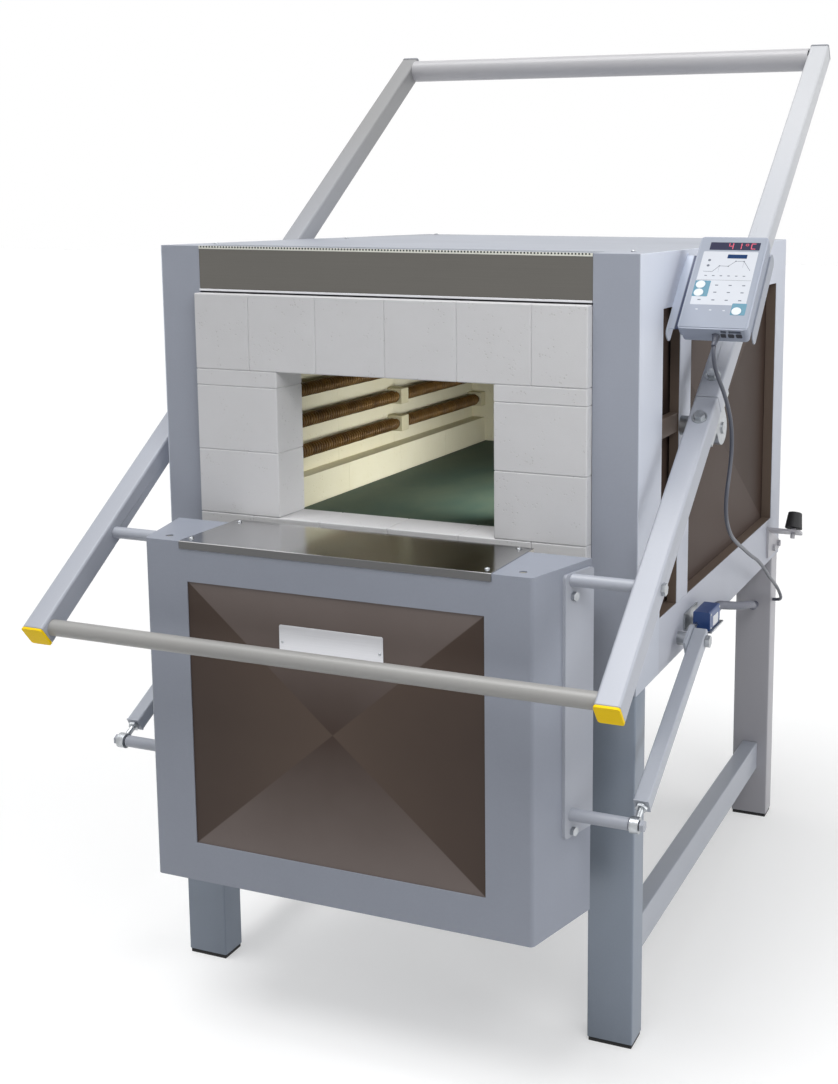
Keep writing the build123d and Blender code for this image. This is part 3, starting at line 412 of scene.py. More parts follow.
@dataclass(frozen=True)
class BrownPanel(Finish):
    """Dark brown paint on a cross-broken sheet, with painted light and shade on its facets: its flanks and
    crowns have tones of their own that change towards the panel's middle.
    """

    flank: Tone
    flank_middle: Tone
    crown: Tone
    crown_middle: Tone
    middle: Point
    half: Point
    across: int
    gloss: float = 0.2

    def lay(self, tree: FinishTree) -> bpy.types.Material:
        """Painted light and shade: flank and crown tones, each passing to its middle tone towards the panel's
        middle, that meet at the creases, with a fine sanded grain.
        """
        axes = tree.axes()
        run = ((axes[self.across] - self.middle[self.across]) / self.half[self.across]).size()
        rise = ((axes[2] - self.middle[2]) / self.half[2]).size()
        tint = tree.noise(5.0, 3.0, 0.6)
        grain = tree.noise(900.0, 2.0, 0.5)
        away = (rise.maths("MAXIMUM", rise, run) * 0.9 + (tint - 0.5) * 0.4).held()
        flank = tree.mixed(away, self.flank_middle, self.flank)
        crown = tree.mixed(away, self.crown_middle, self.crown)
        face = tree.mixed((rise - run).over(0.0, 0.012), flank, crown)
        return tree.surface(
            Base_Color=face, Specular_IOR_Level=self.gloss,
            Roughness=0.46 + 0.1 * (tint - 0.5) + 0.08 * (grain - 0.5),
            Normal=tree.bump(grain, 0.00005, 0.5))


@dataclass(frozen=True)
class BrushedSteel(Finish):
    """Stainless sheet with brush lines along X."""

    colour: Tone
    roughness: float = 0.3
    lines: float = 1.0
    flange: float = 1.0
    flange_top: float = -1.0
    # tint: the band's tone, a painted reflection of the dark mouth.
    tint: float = 1.0
    reflection_middle: float = 0.075
    reflection_half: float = 0.15

    def lay(self, tree: FinishTree) -> bpy.types.Material:
        """Long thin streaks, a much darker flange, and a darker band across the middle that is a painted
        reflection of the dark mouth.
        """
        streak = tree.noise(1.0, 5.0, 0.7, stretch=(6.0, 1500.0, 1500.0))
        broad = tree.noise(2.4, 3.0, 0.5)
        face = tree.mixed(streak * 0.7 + broad * 0.3, deeper(self.colour, 0.82), deeper(self.colour, 1.22))
        if self.flange < 1.0:
            below = 1 - tree.axes()[2].over(self.flange_top, 0.0004)
            fold = tree.mixed(streak, deeper(self.colour, 0.82 * self.flange),
                              deeper(self.colour, 1.3 * self.flange))
            # hot: the darker band across the middle, a painted reflection of the dark mouth.
            hot = (self.reflection_half - (tree.axes()[0] - self.reflection_middle).size()).over(0.0, 0.07)
            face = tree.mixed(below, tree.mixed(hot, face, deeper(self.colour, self.tint)), fold)
        return tree.surface(
            Base_Color=face, Metallic=1.0,
            Roughness=self.roughness + self.lines * 0.16 * (streak - 0.5) + 0.08 * (broad - 0.5),
            Normal=tree.bump(streak, 0.00002, 0.35 * self.lines))


@dataclass(frozen=True)
class Zinc(Finish):
    """Bright zinc plating on bolts, rod ends and shafts, cloudy and a little worn."""

    colour: Tone = (0.46, 0.48, 0.5, 1.0)
    roughness: float = 0.33

    def lay(self, tree: FinishTree) -> bpy.types.Material:
        """Clouds, dull spots and fine turning marks."""
        cloud = tree.noise(70.0, 4.0, 0.6)
        spot = (0.34 - tree.cells(240.0)).over(0.0, 0.2)
        return tree.surface(
            Base_Color=tree.mixed(cloud.over(0.5, 0.5), deeper(self.colour, 0.72),
                                  deeper(self.colour, 1.15)),
            Metallic=1.0, Roughness=self.roughness + 0.2 * (cloud - 0.5) + 0.1 * spot,
            Normal=tree.bump(tree.noise(600.0, 2.0), 0.00003, 0.5))


@dataclass(frozen=True)
class InsulatingBrick(Finish):
    """Lightweight refractory brick: pale, matt, finely pitted, each brick a shade apart."""

    colour: Tone
    stain: Tone
    soiling: float = 0.25

    def lay(self, tree: FinishTree) -> bpy.types.Material:
        """Broad tone, small pits, fine sawn grain."""
        broad = tree.noise(4.5, 3.0, 0.55)
        patch = tree.noise(26.0, 4.0, 0.6)
        pits = (0.2 - tree.cells(170.0)).over(0.0, 0.09) * tree.noise(38.0, 3.0).over(0.56, 0.1)
        grain = tree.noise(850.0, 3.0, 0.6)
        soiled = ((broad * 0.6 + patch * 0.4).over(0.56, 0.5) * self.soiling + pits * 0.45).held()
        return tree.surface(
            Base_Color=tree.mixed(soiled, self.colour, self.stain), Roughness=0.93,
            Normal=tree.bump(grain * 0.35 - pits, 0.0007, 0.7), Specular_IOR_Level=0.18)


@dataclass(frozen=True)
class HearthPlate(Finish):
    """Dark green-grey silicon carbide plate, cloudy with scale."""

    colour: Tone
    pale: Tone

    def lay(self, tree: FinishTree) -> bpy.types.Material:
        """Cloudy scale and coarse grain."""
        cloud = tree.noise(7.0, 6.0, 0.62, stretch=(1.0, 0.6, 1.0))
        grit = tree.noise(700.0, 2.0)
        scale = tree.mixed((cloud * 0.85 + grit * 0.15).over(0.52, 0.35), self.colour, self.pale)
        return tree.surface(Base_Color=scale, Roughness=0.6 + 0.16 * (cloud - 0.5), Specular_IOR_Level=0.15,
                            Normal=tree.bump(grit + cloud, 0.00025, 0.6))


@dataclass(frozen=True)
class HeatedWire(Finish):
    """Heating wire with a brown oxide skin, lighter where it ran hottest."""

    colour: Tone
    hot: Tone
    metallic: float

    def lay(self, tree: FinishTree) -> bpy.types.Material:
        """Blotchy oxide, rough skin."""
        blotch = tree.noise(45.0, 4.0, 0.6)
        skin = tree.noise(900.0, 2.0)
        oxide = tree.mixed((blotch * 0.8 + skin * 0.2).over(0.52, 0.4), self.colour, self.hot)
        return tree.surface(Base_Color=oxide, Metallic=self.metallic, Roughness=0.46 + 0.2 * (blotch - 0.5),
                            Normal=tree.bump(skin, 0.0001, 0.5))


@dataclass(frozen=True)
class DrySurface(Finish):
    """A matt mineral, rubber or fibre surface: tone clouds and a bump of one grain."""

    colour: Tone
    other: Tone
    roughness: float = 0.8
    grain: float = 300.0
    height: float = 0.0003
    stretch: Point = (1.0, 1.0, 1.0)
    gloss: float = 0.5

    def lay(self, tree: FinishTree) -> bpy.types.Material:
        """Clouds and grain."""
        cloud = tree.noise(18.0, 4.0, 0.6)
        grain = tree.noise(self.grain, 4.0, 0.65, stretch=self.stretch)
        return tree.surface(
            Base_Color=tree.mixed((cloud * 0.6 + grain * 0.4).over(0.5, 0.5), self.colour, self.other),
            Roughness=self.roughness + 0.14 * (grain - 0.5), Normal=tree.bump(grain, self.height, 0.7),
            Specular_IOR_Level=self.gloss)


@dataclass(frozen=True)
class Moulding(Finish):
    """Injection moulded plastic with a fine spark texture and a little gloss."""

    colour: Tone
    roughness: float = 0.4
    grain: float = 1100.0
    height: float = 0.00003
    coat: float = 0.0
    gloss: float = 0.5

    def lay(self, tree: FinishTree) -> bpy.types.Material:
        """Slight flow tone, spark texture, handling marks in the gloss."""
        flow = tree.noise(14.0, 3.0, 0.5)
        spark = tree.noise(self.grain, 2.0, 0.5)
        return tree.surface(
            Base_Color=tree.mixed(flow.over(0.5, 0.7), deeper(self.colour, 0.9),
                                  deeper(self.colour, 1.04)),
            Roughness=self.roughness + 0.14 * (flow - 0.5) + 0.06 * (spark - 0.5),
            Normal=tree.bump(spark, self.height, 0.6), Specular_IOR_Level=self.gloss,
            Coat_Weight=self.coat, Coat_Roughness=0.12)


@dataclass(frozen=True)
class CapPlastic(Finish):
    """End caps: yellow at the arms' front, grey at their rear."""

    front: Tone
    rear: Tone

    def lay(self, tree: FinishTree) -> bpy.types.Material:
        """The colour by which end the cap is on, with scuffs."""
        behind = tree.axes()[1].over(0.0, 0.01)
        scuff = tree.noise(160.0, 4.0, 0.65)
        worn = scuff.over(0.68, 0.1) * 0.35
        yellow = tree.mixed(worn, self.front, deeper(self.front, 0.6))
        return tree.surface(
            Base_Color=tree.mixed(behind, yellow, self.rear), Roughness=0.5 + 0.2 * (scuff - 0.5),
            Specular_IOR_Level=0.15, Normal=tree.bump(scuff, 0.00004, 0.5))


@dataclass(frozen=True)
class Lamp(Finish):
    """Lit strokes of a display behind a dark window."""

    colour: Tone
    glow: float = 1.0

    def lay(self, tree: FinishTree) -> bpy.types.Material:
        """A glow that is a little uneven along the strokes."""
        spread = tree.noise(900.0, 1.0)
        lit = tree.mixed(spread, deeper(self.colour, 0.75), self.colour)
        return tree.surface(Base_Color=lit, Roughness=0.35, Emission_Color=lit,
                            Emission_Strength=self.glow)


class Paints:
    """The furnace's finishes by their use."""

    # The grey paints from GREY to INNER are copies of one grey paint, each set lighter or darker for its
    # part: painted light and shade for how the light falls on it.
    GREY = SatinPaint("satin_grey_paint", tone(158, 163, 174), gloss=0.3, coat=0.04)
    COLUMN = ColumnPaint("satin_grey_paint_columns", tone(160, 165, 177), gloss=0.3, coat=0.04)
    BRACKET = BracketPaint("satin_grey_paint_bracket", tone(158, 163, 174), gloss=0.3, coat=0.04)
    DOOR = SatinPaint("satin_grey_paint_door", tone(150, 155, 167), gloss=0.2, coat=0.02)
    # LIP's near-white is a painted highlight along the fold of the top's front edge.
    LIP = SatinPaint("satin_grey_paint_lip", tone(232, 232, 222), gloss=0.3, coat=0.04)
    SIDE = WindowedPaint("satin_grey_paint_sides", tone(184, 187, 197), gloss=0.1, coat=0.0)
    # behind: a painted highlight on the right arm's rear and painted shade on the left arm's rear.
    ARM_RIGHT = StandPaint("satin_grey_paint_right_arm", tone(170, 174, 184), shade=0.03,
                           behind=tone(206, 208, 212), spread=0.6)
    ARM_LEFT = StandPaint("satin_grey_paint_left_arm", tone(170, 174, 184), shade=0.03,
                          behind=tone(152, 152, 153), spread=0.6)
    HANDLE = SatinPaint("satin_grey_paint_handle", tone(156, 155, 153), shade=0.03)
    CROSSBAR = SatinPaint("satin_grey_paint_crossbar", tone(196, 195, 198), shade=0.03)
    # behind: a painted highlight on the stand's rear.
    LEG = StandPaint("satin_grey_paint_stand", tone(136, 146, 160), shade=0.05, behind=tone(178, 177, 183))
    RAIL = SatinPaint("satin_grey_paint_rails", tone(176, 181, 191), shade=0.03)
    INNER = SatinPaint("satin_grey_paint_tubes", tone(168, 172, 182), shade=0.03)
    # The brown panels' flank and crown tones are painted light and shade.
    DOOR_BROWN = BrownPanel(
        "brown_panel_door", tone(66, 54, 48), tone(88, 74, 65), tone(118, 108, 104), tone(68, 54, 47),
        middle=(MIDDLE_X, -0.585, 0.56025), half=(0.2645, 1.0, 0.22475), across=0)
    SIDE_BROWN = BrownPanel(
        "brown_panel_side", tone(64, 52, 46), tone(70, 58, 52), tone(84, 72, 67), tone(76, 64, 58),
        middle=(0.0, 0.13867, 0.9695), half=(1.0, 0.4085, 0.2585), across=1, gloss=0.05)
    STRIP = BrushedSteel("brushed_stainless", tone(104, 102, 98), 0.36)
    # MIRROR's tint is a painted reflection of the dark mouth across the door cover's middle.
    MIRROR = BrushedSteel("polished_stainless", tone(200, 200, 201), 0.17, lines=0.35, flange=0.2,
                          flange_top=0.8512, tint=0.32)
    PLATE = BrushedSteel("brushed_aluminium", tone(214, 215, 219), 0.4, lines=0.6)
    ZINC = Zinc("zinc_plating")
    BRICK = InsulatingBrick("insulating_brick", tone(217, 217, 219), tone(188, 187, 186))
    LINING = InsulatingBrick("chamber_brick", tone(226, 222, 198), tone(206, 197, 156), 0.4)
    # The roof bricks' much darker tones are painted shade on the roof, which faces down.
    ROOF = InsulatingBrick("chamber_roof_brick", tone(128, 118, 92), tone(84, 74, 52), 0.6)
    HEARTH = HearthPlate("hearth_plate_carbide", tone(56, 80, 72), tone(86, 98, 82))
    WIRE = HeatedWire("heating_wire_oxide", tone(70, 47, 18), tone(132, 98, 46), 0.3)
    STAINED = HeatedWire("stained_ceramic", tone(62, 46, 26), tone(92, 72, 42), 0.1)
    CERAMIC = DrySurface("ceramic_holder", tone(214, 208, 180), tone(192, 184, 148), 0.7, 500.0, 0.0001)
    FIBRE = DrySurface("ceramic_fibre", tone(226, 225, 220), tone(202, 199, 190), 0.95, 160.0, 0.0016,
                       (1.0, 1.0, 3.0))
    # The boards' near-black tone is painted shade where the vents look down on them.
    BOARD = DrySurface("insulation_board", tone(60, 60, 62), tone(38, 38, 40), 0.95, 200.0, 0.0008)
    PROBE = Zinc("probe_sheath_metal", (0.3, 0.28, 0.26, 1.0), 0.45)
    RUBBER = DrySurface("black_rubber_stop", tone(38, 38, 41), tone(24, 24, 26), 0.62, 420.0, 0.0001)
    PAD = DrySurface("black_foot_rubber", tone(30, 30, 32), tone(18, 18, 20), 0.75, 300.0, 0.0002)
    CAP = CapPlastic("end_cap_plastic", tone(255, 214, 0), tone(156, 159, 166))
    SWITCH = Moulding("switch_blue_plastic", tone(46, 74, 128), 0.38)
    PLUNGER = Zinc("plunger_bright_steel", (0.6, 0.61, 0.62, 1.0), 0.2)
    CASE = Moulding("controller_case_plastic", tone(150, 157, 172), 0.45)
    MEMBRANE = Moulding("controller_membrane_foil", tone(144, 151, 165), 0.4, 700.0, 0.00001, gloss=0.3)
    WHITE = Moulding("controller_white_foil", tone(188, 192, 200), 0.4, 700.0, 0.00001)
    KEY = Moulding("key_white_plastic", tone(200, 208, 214), 0.36, 900.0, 0.00002, 0.1)
    TEAL = Moulding("key_field_teal", tone(40, 116, 140), 0.4, 700.0, 0.00001)
    INK = Moulding("printed_grey_ink", tone(88, 94, 108), 0.5)
    WINDOW = Moulding("display_window", tone(56, 56, 78), 0.45, 900.0, 0.000004, gloss=0.04)
    SMALL_WINDOW = Moulding("small_display_window", tone(30, 58, 100), 0.45, 900.0, 0.000004, gloss=0.04)
    DIGITS = Lamp("display_digits", tone(206, 26, 74), 0.45)
    SOCKET = Moulding("socket_black_plastic", tone(34, 36, 44), 0.5)
    LABEL = Moulding("switch_blank_label", tone(226, 228, 232), 0.45)
    CABLE = Moulding("cable_sheath_grey", tone(80, 83, 94), 0.42, 500.0, 0.00006)
    CONDUIT = Moulding("conduit_grey_plastic", tone(104, 107, 120), 0.45, 500.0, 0.00005)
    # Dark fill in the vent slots and lip notches: painted shade.
    VENT_SHADE = DrySurface("vent_shadow_gauze", tone(58, 66, 66), tone(34, 38, 40), 0.9, 900.0, 0.0002, gloss=0.0)


def placed(name: str, data: bpy.types.ID | None) -> bpy.types.Object:
    """Puts an object with this data into the scene."""
    made = bpy.data.objects.new(name, data)
    bpy.context.scene.collection.objects.link(made)
    return made


def new_piece(name: str, bm: bmesh.types.BMesh) -> bpy.types.Object:
    """Makes an object from a built mesh and frees the mesh that it was built in."""
    mesh = bpy.data.meshes.new(name)
    bm.to_mesh(mesh)
    bm.free()
    return placed(name, mesh)


def reopened(piece: bpy.types.Object) -> bmesh.types.BMesh:
    """Takes a piece apart into a mesh to build on."""
    bm = bmesh.new()
    bm.from_mesh(piece.data)
    bpy.data.objects.remove(piece)
    return bm


def shade(piece: bpy.types.Object, smooth: bool) -> bpy.types.Object:
    """Shades all of a piece's faces smooth or flat."""
    for face in piece.data.polygons:
        face.use_smooth = smooth
    return piece


def settle(piece: bpy.types.Object) -> bpy.types.Object:
    """Turns a piece with modifiers, or a curve, into one with a plain mesh of the same name."""
    graph = bpy.context.evaluated_depsgraph_get()
    mesh = bpy.data.meshes.new_from_object(piece.evaluated_get(graph), preserve_all_data_layers=True,
                                           depsgraph=graph)
    name = piece.name
    bpy.data.objects.remove(piece)
    mesh.name = name
    return placed(name, mesh)


def soften(piece: bpy.types.Object, width: float, segments: int = 2) -> bpy.types.Object:
    """Rounds a piece's edges and smooths its faces.

    Args:
        piece: A closed mesh piece with no modifiers.
        width: Width of the rounding in metres.
        segments: Steps across each rounding.

    Returns:
        The piece with its plain mesh.
    """
    bevel = shade(piece, True).modifiers.new("edge_rounding", "BEVEL")
    bevel.width, bevel.segments = width, segments
    bevel.limit_method, bevel.angle_limit = "ANGLE", math.radians(31.0)
    bevel.harden_normals, bevel.use_clamp_overlap = True, True
    return settle(piece)


def lathe(profile: Sequence[Pair], base: Vector, along: Vector, sides: int) -> bmesh.types.BMesh:
    """Turns a profile round an axis.

    Args:
        profile: Pairs of radius and height in metres, from one end to the other.
        base: Where height 0 is.
        along: The axis.
        sides: Steps round it.

    Returns:
        The mesh.
    """
    bm = bmesh.new()
    turn = along.to_track_quat("Z", "Y").to_matrix()
    rings = [[bm.verts.new(base + turn @ Vector((x, y, height))) for x, y in disc(0.0, 0.0, radius, sides)]
             for radius, height in profile]
    for low, high in zip(rings, rings[1:]):
        for i in range(sides):
            j = (i + 1) % sides
            bm.faces.new((low[i], low[j], high[j], high[i]))
    bm.faces.new(rings[0][::-1])
    bm.faces.new(rings[-1])
    return bm


@dataclass(frozen=True)
class Plane:
    """A flat place to draw on: its middle, its right, its up, and outwards, in metres."""

    middle: Vector
    right: Vector
    up: Vector

    @property
    def out(self) -> Vector:
        """Away from the surface."""
        return self.right.cross(self.up)

    def spot(self, a: float, b: float, c: float = 0.0) -> Vector:
        """The point at a to the right, b up and c out, all in millimetres."""
        return self.middle + (self.right * a + self.up * b + self.out * c) * MM

    def slab(self, bm: bmesh.types.BMesh, outline: Sequence[Pair], low: float,
             high: float) -> None:
        """Adds a flat slab with this outline, anticlockwise, between two heights in millimetres."""
        bottom, top = ([bm.verts.new(self.spot(a, b, height)) for a, b in outline] for height in (low, high))
        bm.faces.new(bottom[::-1])
        bm.faces.new(top)
        for i in range(len(outline)):
            j = (i + 1) % len(outline)
            bm.faces.new((bottom[i], bottom[j], top[j], top[i]))


def rectangle(x0: float, y0: float, x1: float, y1: float, radius: float = 0.0,
              steps: int = 3) -> list[Pair]:
    """A rectangle's outline, anticlockwise, with rounded corners where a radius is given."""
    if radius <= 0:
        return [(x0, y0), (x1, y0), (x1, y1), (x0, y1)]
    corners = ((x1 - radius, y0 + radius, -90), (x1 - radius, y1 - radius, 0),
               (x0 + radius, y1 - radius, 90), (x0 + radius, y0 + radius, 180))
    return [(x + radius * math.cos(math.radians(start + 90 * i / steps)),
             y + radius * math.sin(math.radians(start + 90 * i / steps)))
            for x, y, start in corners for i in range(steps + 1)]


def pierced(outline: list[Pair], x: float, heights: Sequence[float], radius: float) -> list[list[Pair]]:
    """Pierces a rounded rectangle with round holes one above another.

    Args:
        outline: The rectangle's outline, as rectangle() gives it.
        x: Where the holes' middles are, from left to right.
        heights: How high they are, from the lowest up.
        radius: The holes' radius.

    Returns:
        The outlines of its right and left halves, which meet on the line through the holes.
    """
    turns = [math.pi * i / 12 for i in range(13)]
    low, high = min(p[1] for p in outline), max(p[1] for p in outline)
    down = [(x + radius * math.sin(t), y + radius * math.cos(t)) for y in reversed(heights) for t in turns]
    up = [(x - radius * math.sin(t), y - radius * math.cos(t)) for y in heights for t in turns]
    half = len(outline) // 2
    return [[*outline[:half], (x, high), *down, (x, low)], [*outline[half:], (x, low), *up, (x, high)]]


def disc(x: float, y: float, radius: float, sides: int) -> list[Pair]:
    """A circle's outline, anticlockwise."""
    return [(x + radius * math.cos(2 * math.pi * i / sides), y + radius * math.sin(2 * math.pi * i / sides))
            for i in range(sides)]


def stroke(start: Pair, end: Pair, width: float) -> list[Pair]:
    """The outline of a straight line of some width, anticlockwise."""
    along = Vector((end[0] - start[0], end[1] - start[1])).normalized() * width / 2
    side = Vector((-along.y, along.x))
    first, last = Vector(start) - along, Vector(end) + along
    return [tuple(first - side), tuple(last - side), tuple(last + side), tuple(first + side)]


class RepeatTree(NodeBuilder):
    """A Geometry Nodes tree with named inputs, which ends in real geometry with its material."""

    def __init__(self, name: str, inputs: dict[str, tuple[str, Any]]) -> None:
        """Makes the tree.

        Args:
            name: The tree's name.
            inputs: For each named input its socket type and first value.
        """
        super().__init__(bpy.data.node_groups.new(name, "GeometryNodeTree"))
        self.tree.interface.new_socket("Geometry", in_out="INPUT", socket_type="NodeSocketGeometry")
        self.tree.interface.new_socket("Geometry", in_out="OUTPUT", socket_type="NodeSocketGeometry")
        for label, (kind, first) in {**inputs, "Material": ("NodeSocketMaterial", None)}.items():
            socket = self.tree.interface.new_socket(label, in_out="INPUT", socket_type=kind)
            if first is not None:
                socket.default_value = first
        self.given = self.add("NodeGroupInput").outputs

    def finish(self, instances: bpy.types.NodeSocket) -> None:
        """Makes the instances real, gives them the material and ends the tree."""
        real = self.add("GeometryNodeRealizeInstances", inputs={0: instances})
        dressed = self.add("GeometryNodeSetMaterial", inputs={
            0: real.outputs[0], "Material": self.given["Material"]})
        self.add("NodeGroupOutput", inputs={0: dressed.outputs[0]})

    def run(self, piece: bpy.types.Object, finish: Finish, **values: Any) -> bpy.types.Object:
        """Runs the tree on a piece.

        Args:
            piece: The carrier, whose geometry is the tree's input.
            finish: Its finish.
            values: The other named inputs, with _ for a space.

        Returns:
            A plain mesh piece of the same name.
        """
        modifier = piece.modifiers.new("repeat", "NODES")
        modifier.node_group = self.tree
        values["Material"] = finish.material()
        for item in self.tree.interface.items_tree:
            key = item.name.replace(" ", "_")
            if item.in_out == "INPUT" and key in values:
                modifier[item.identifier] = values[key]
        return shade(settle(piece), True)


def winding_tree() -> RepeatTree:
    """A wire wound on each of the carrier's points, along Y."""
    tree = RepeatTree("heating_winding", {
        "Turns": ("NodeSocketFloat", 60.0), "Length": ("NodeSocketFloat", 0.38),
        "Coil Radius": ("NodeSocketFloat", 0.011), "Wire Radius": ("NodeSocketFloat", 0.002),
        "Steps": ("NodeSocketInt", 12)})
    given = tree.given
    spiral = tree.add("GeometryNodeCurveSpiral", inputs={
        "Resolution": given["Steps"], "Rotations": given["Turns"], "Start Radius": given["Coil Radius"],
        "End Radius": given["Coil Radius"], "Height": given["Length"]})
    section = tree.add("GeometryNodeCurvePrimitiveCircle", {"mode": "RADIUS"},
                       {"Resolution": 6, "Radius": given["Wire Radius"]})
    wire = tree.add("GeometryNodeCurveToMesh", inputs={
        "Curve": spiral.outputs[0], "Profile Curve": section.outputs[0], "Fill Caps": True})
    laid = tree.add("GeometryNodeTransform", inputs={"Geometry": wire.outputs[0],
                                                    "Rotation": (-math.pi / 2, 0.0, 0.0)})
    tree.finish(tree.add("GeometryNodeInstanceOnPoints", inputs={
        "Points": given["Geometry"], "Instance": laid.outputs[0]}).outputs[0])
    return tree


def row_tree() -> RepeatTree:
    """The carrier's own mesh repeated along a line and joined to a strip."""
    tree = RepeatTree("repeated_row", {
        "Count": ("NodeSocketInt", 10), "Pitch": ("NodeSocketVector", (0.006, 0.0, 0.0))})
    line = tree.add("GeometryNodeMeshLine", {"mode": "OFFSET"}, {
        "Count": tree.given["Count"], "Offset": tree.given["Pitch"]})
    copies = tree.add("GeometryNodeInstanceOnPoints", inputs={
        "Points": line.outputs[0], "Instance": tree.given["Geometry"]})
    real = tree.add("GeometryNodeRealizeInstances", inputs={0: copies.outputs[0]})
    tree.finish(tree.add("GeometryNodeMergeByDistance", inputs={
        "Geometry": real.outputs[0], "Distance": 0.00001}).outputs[0])
    return tree


def scatter_tree() -> RepeatTree:
    """A head on each of the carrier's points, tilted alike, each turned by its own amount about its axis."""
    tree = RepeatTree("screw_heads", {
        "Head": ("NodeSocketObject", None), "Tilt": ("NodeSocketVector", (0.0, 0.0, 0.0)),
        "Seed": ("NodeSocketInt", 7)})
    head = tree.add("GeometryNodeObjectInfo", inputs={"Object": tree.given["Head"]})
    turn = tree.add("FunctionNodeRandomValue", {"data_type": "FLOAT"}, {3: 6.283, "Seed": tree.given["Seed"]})
    own = tree.add("ShaderNodeCombineXYZ", inputs={2: turn.outputs[1]})
    spun = tree.add("FunctionNodeRotateRotation", {"rotation_space": "LOCAL"}, {
        0: tree.given["Tilt"], 1: own.outputs[0]})
    tree.finish(tree.add("GeometryNodeInstanceOnPoints", inputs={
        "Points": tree.given["Geometry"], "Instance": head.outputs["Geometry"],
        "Rotation": spun.outputs[0]}).outputs[0])
    return tree


def ribbed_tube_tree() -> RepeatTree:
    """A tube along the carrier's line whose radius rises and falls at each rib."""
    tree = RepeatTree("ribbed_tube", {
        "Radius": ("NodeSocketFloat", 0.008), "Rib Height": ("NodeSocketFloat", 0.0007),
        "Rib Pitch": ("NodeSocketFloat", 0.004), "Steps per Rib": ("NodeSocketInt", 4)})
    given = tree.given
    line = tree.add("GeometryNodeMeshToCurve", inputs={"Mesh": given["Geometry"]})
    pitch = Value(tree, given["Rib Pitch"])
    even = tree.add("GeometryNodeResampleCurve", {"mode": "LENGTH"}, {
        "Curve": line.outputs[0], "Length": pitch / Value(tree, given["Steps per Rib"])})
    run = Value(tree, tree.add("GeometryNodeSplineParameter").outputs["Length"])
    wave = run.maths("COSINE", run / pitch * 6.2832)
    radius = Value(tree, given["Radius"]) - Value(tree, given["Rib Height"]) * (0.5 - 0.5 * wave)
    sized = tree.add("GeometryNodeSetCurveRadius", inputs={"Curve": even.outputs[0], "Radius": radius})
    ring = tree.add("GeometryNodeCurvePrimitiveCircle", {"mode": "RADIUS"}, {"Resolution": 20, "Radius": 1.0})
    tube = tree.add("GeometryNodeCurveToMesh", inputs={
        "Curve": sized.outputs[0], "Profile Curve": ring.outputs[0], "Fill Caps": True})
    if "Scale" in tube.inputs:
        tree.tree.links.new(radius.socket, tube.inputs["Scale"])
    tree.finish(tube.outputs[0])
    return tree


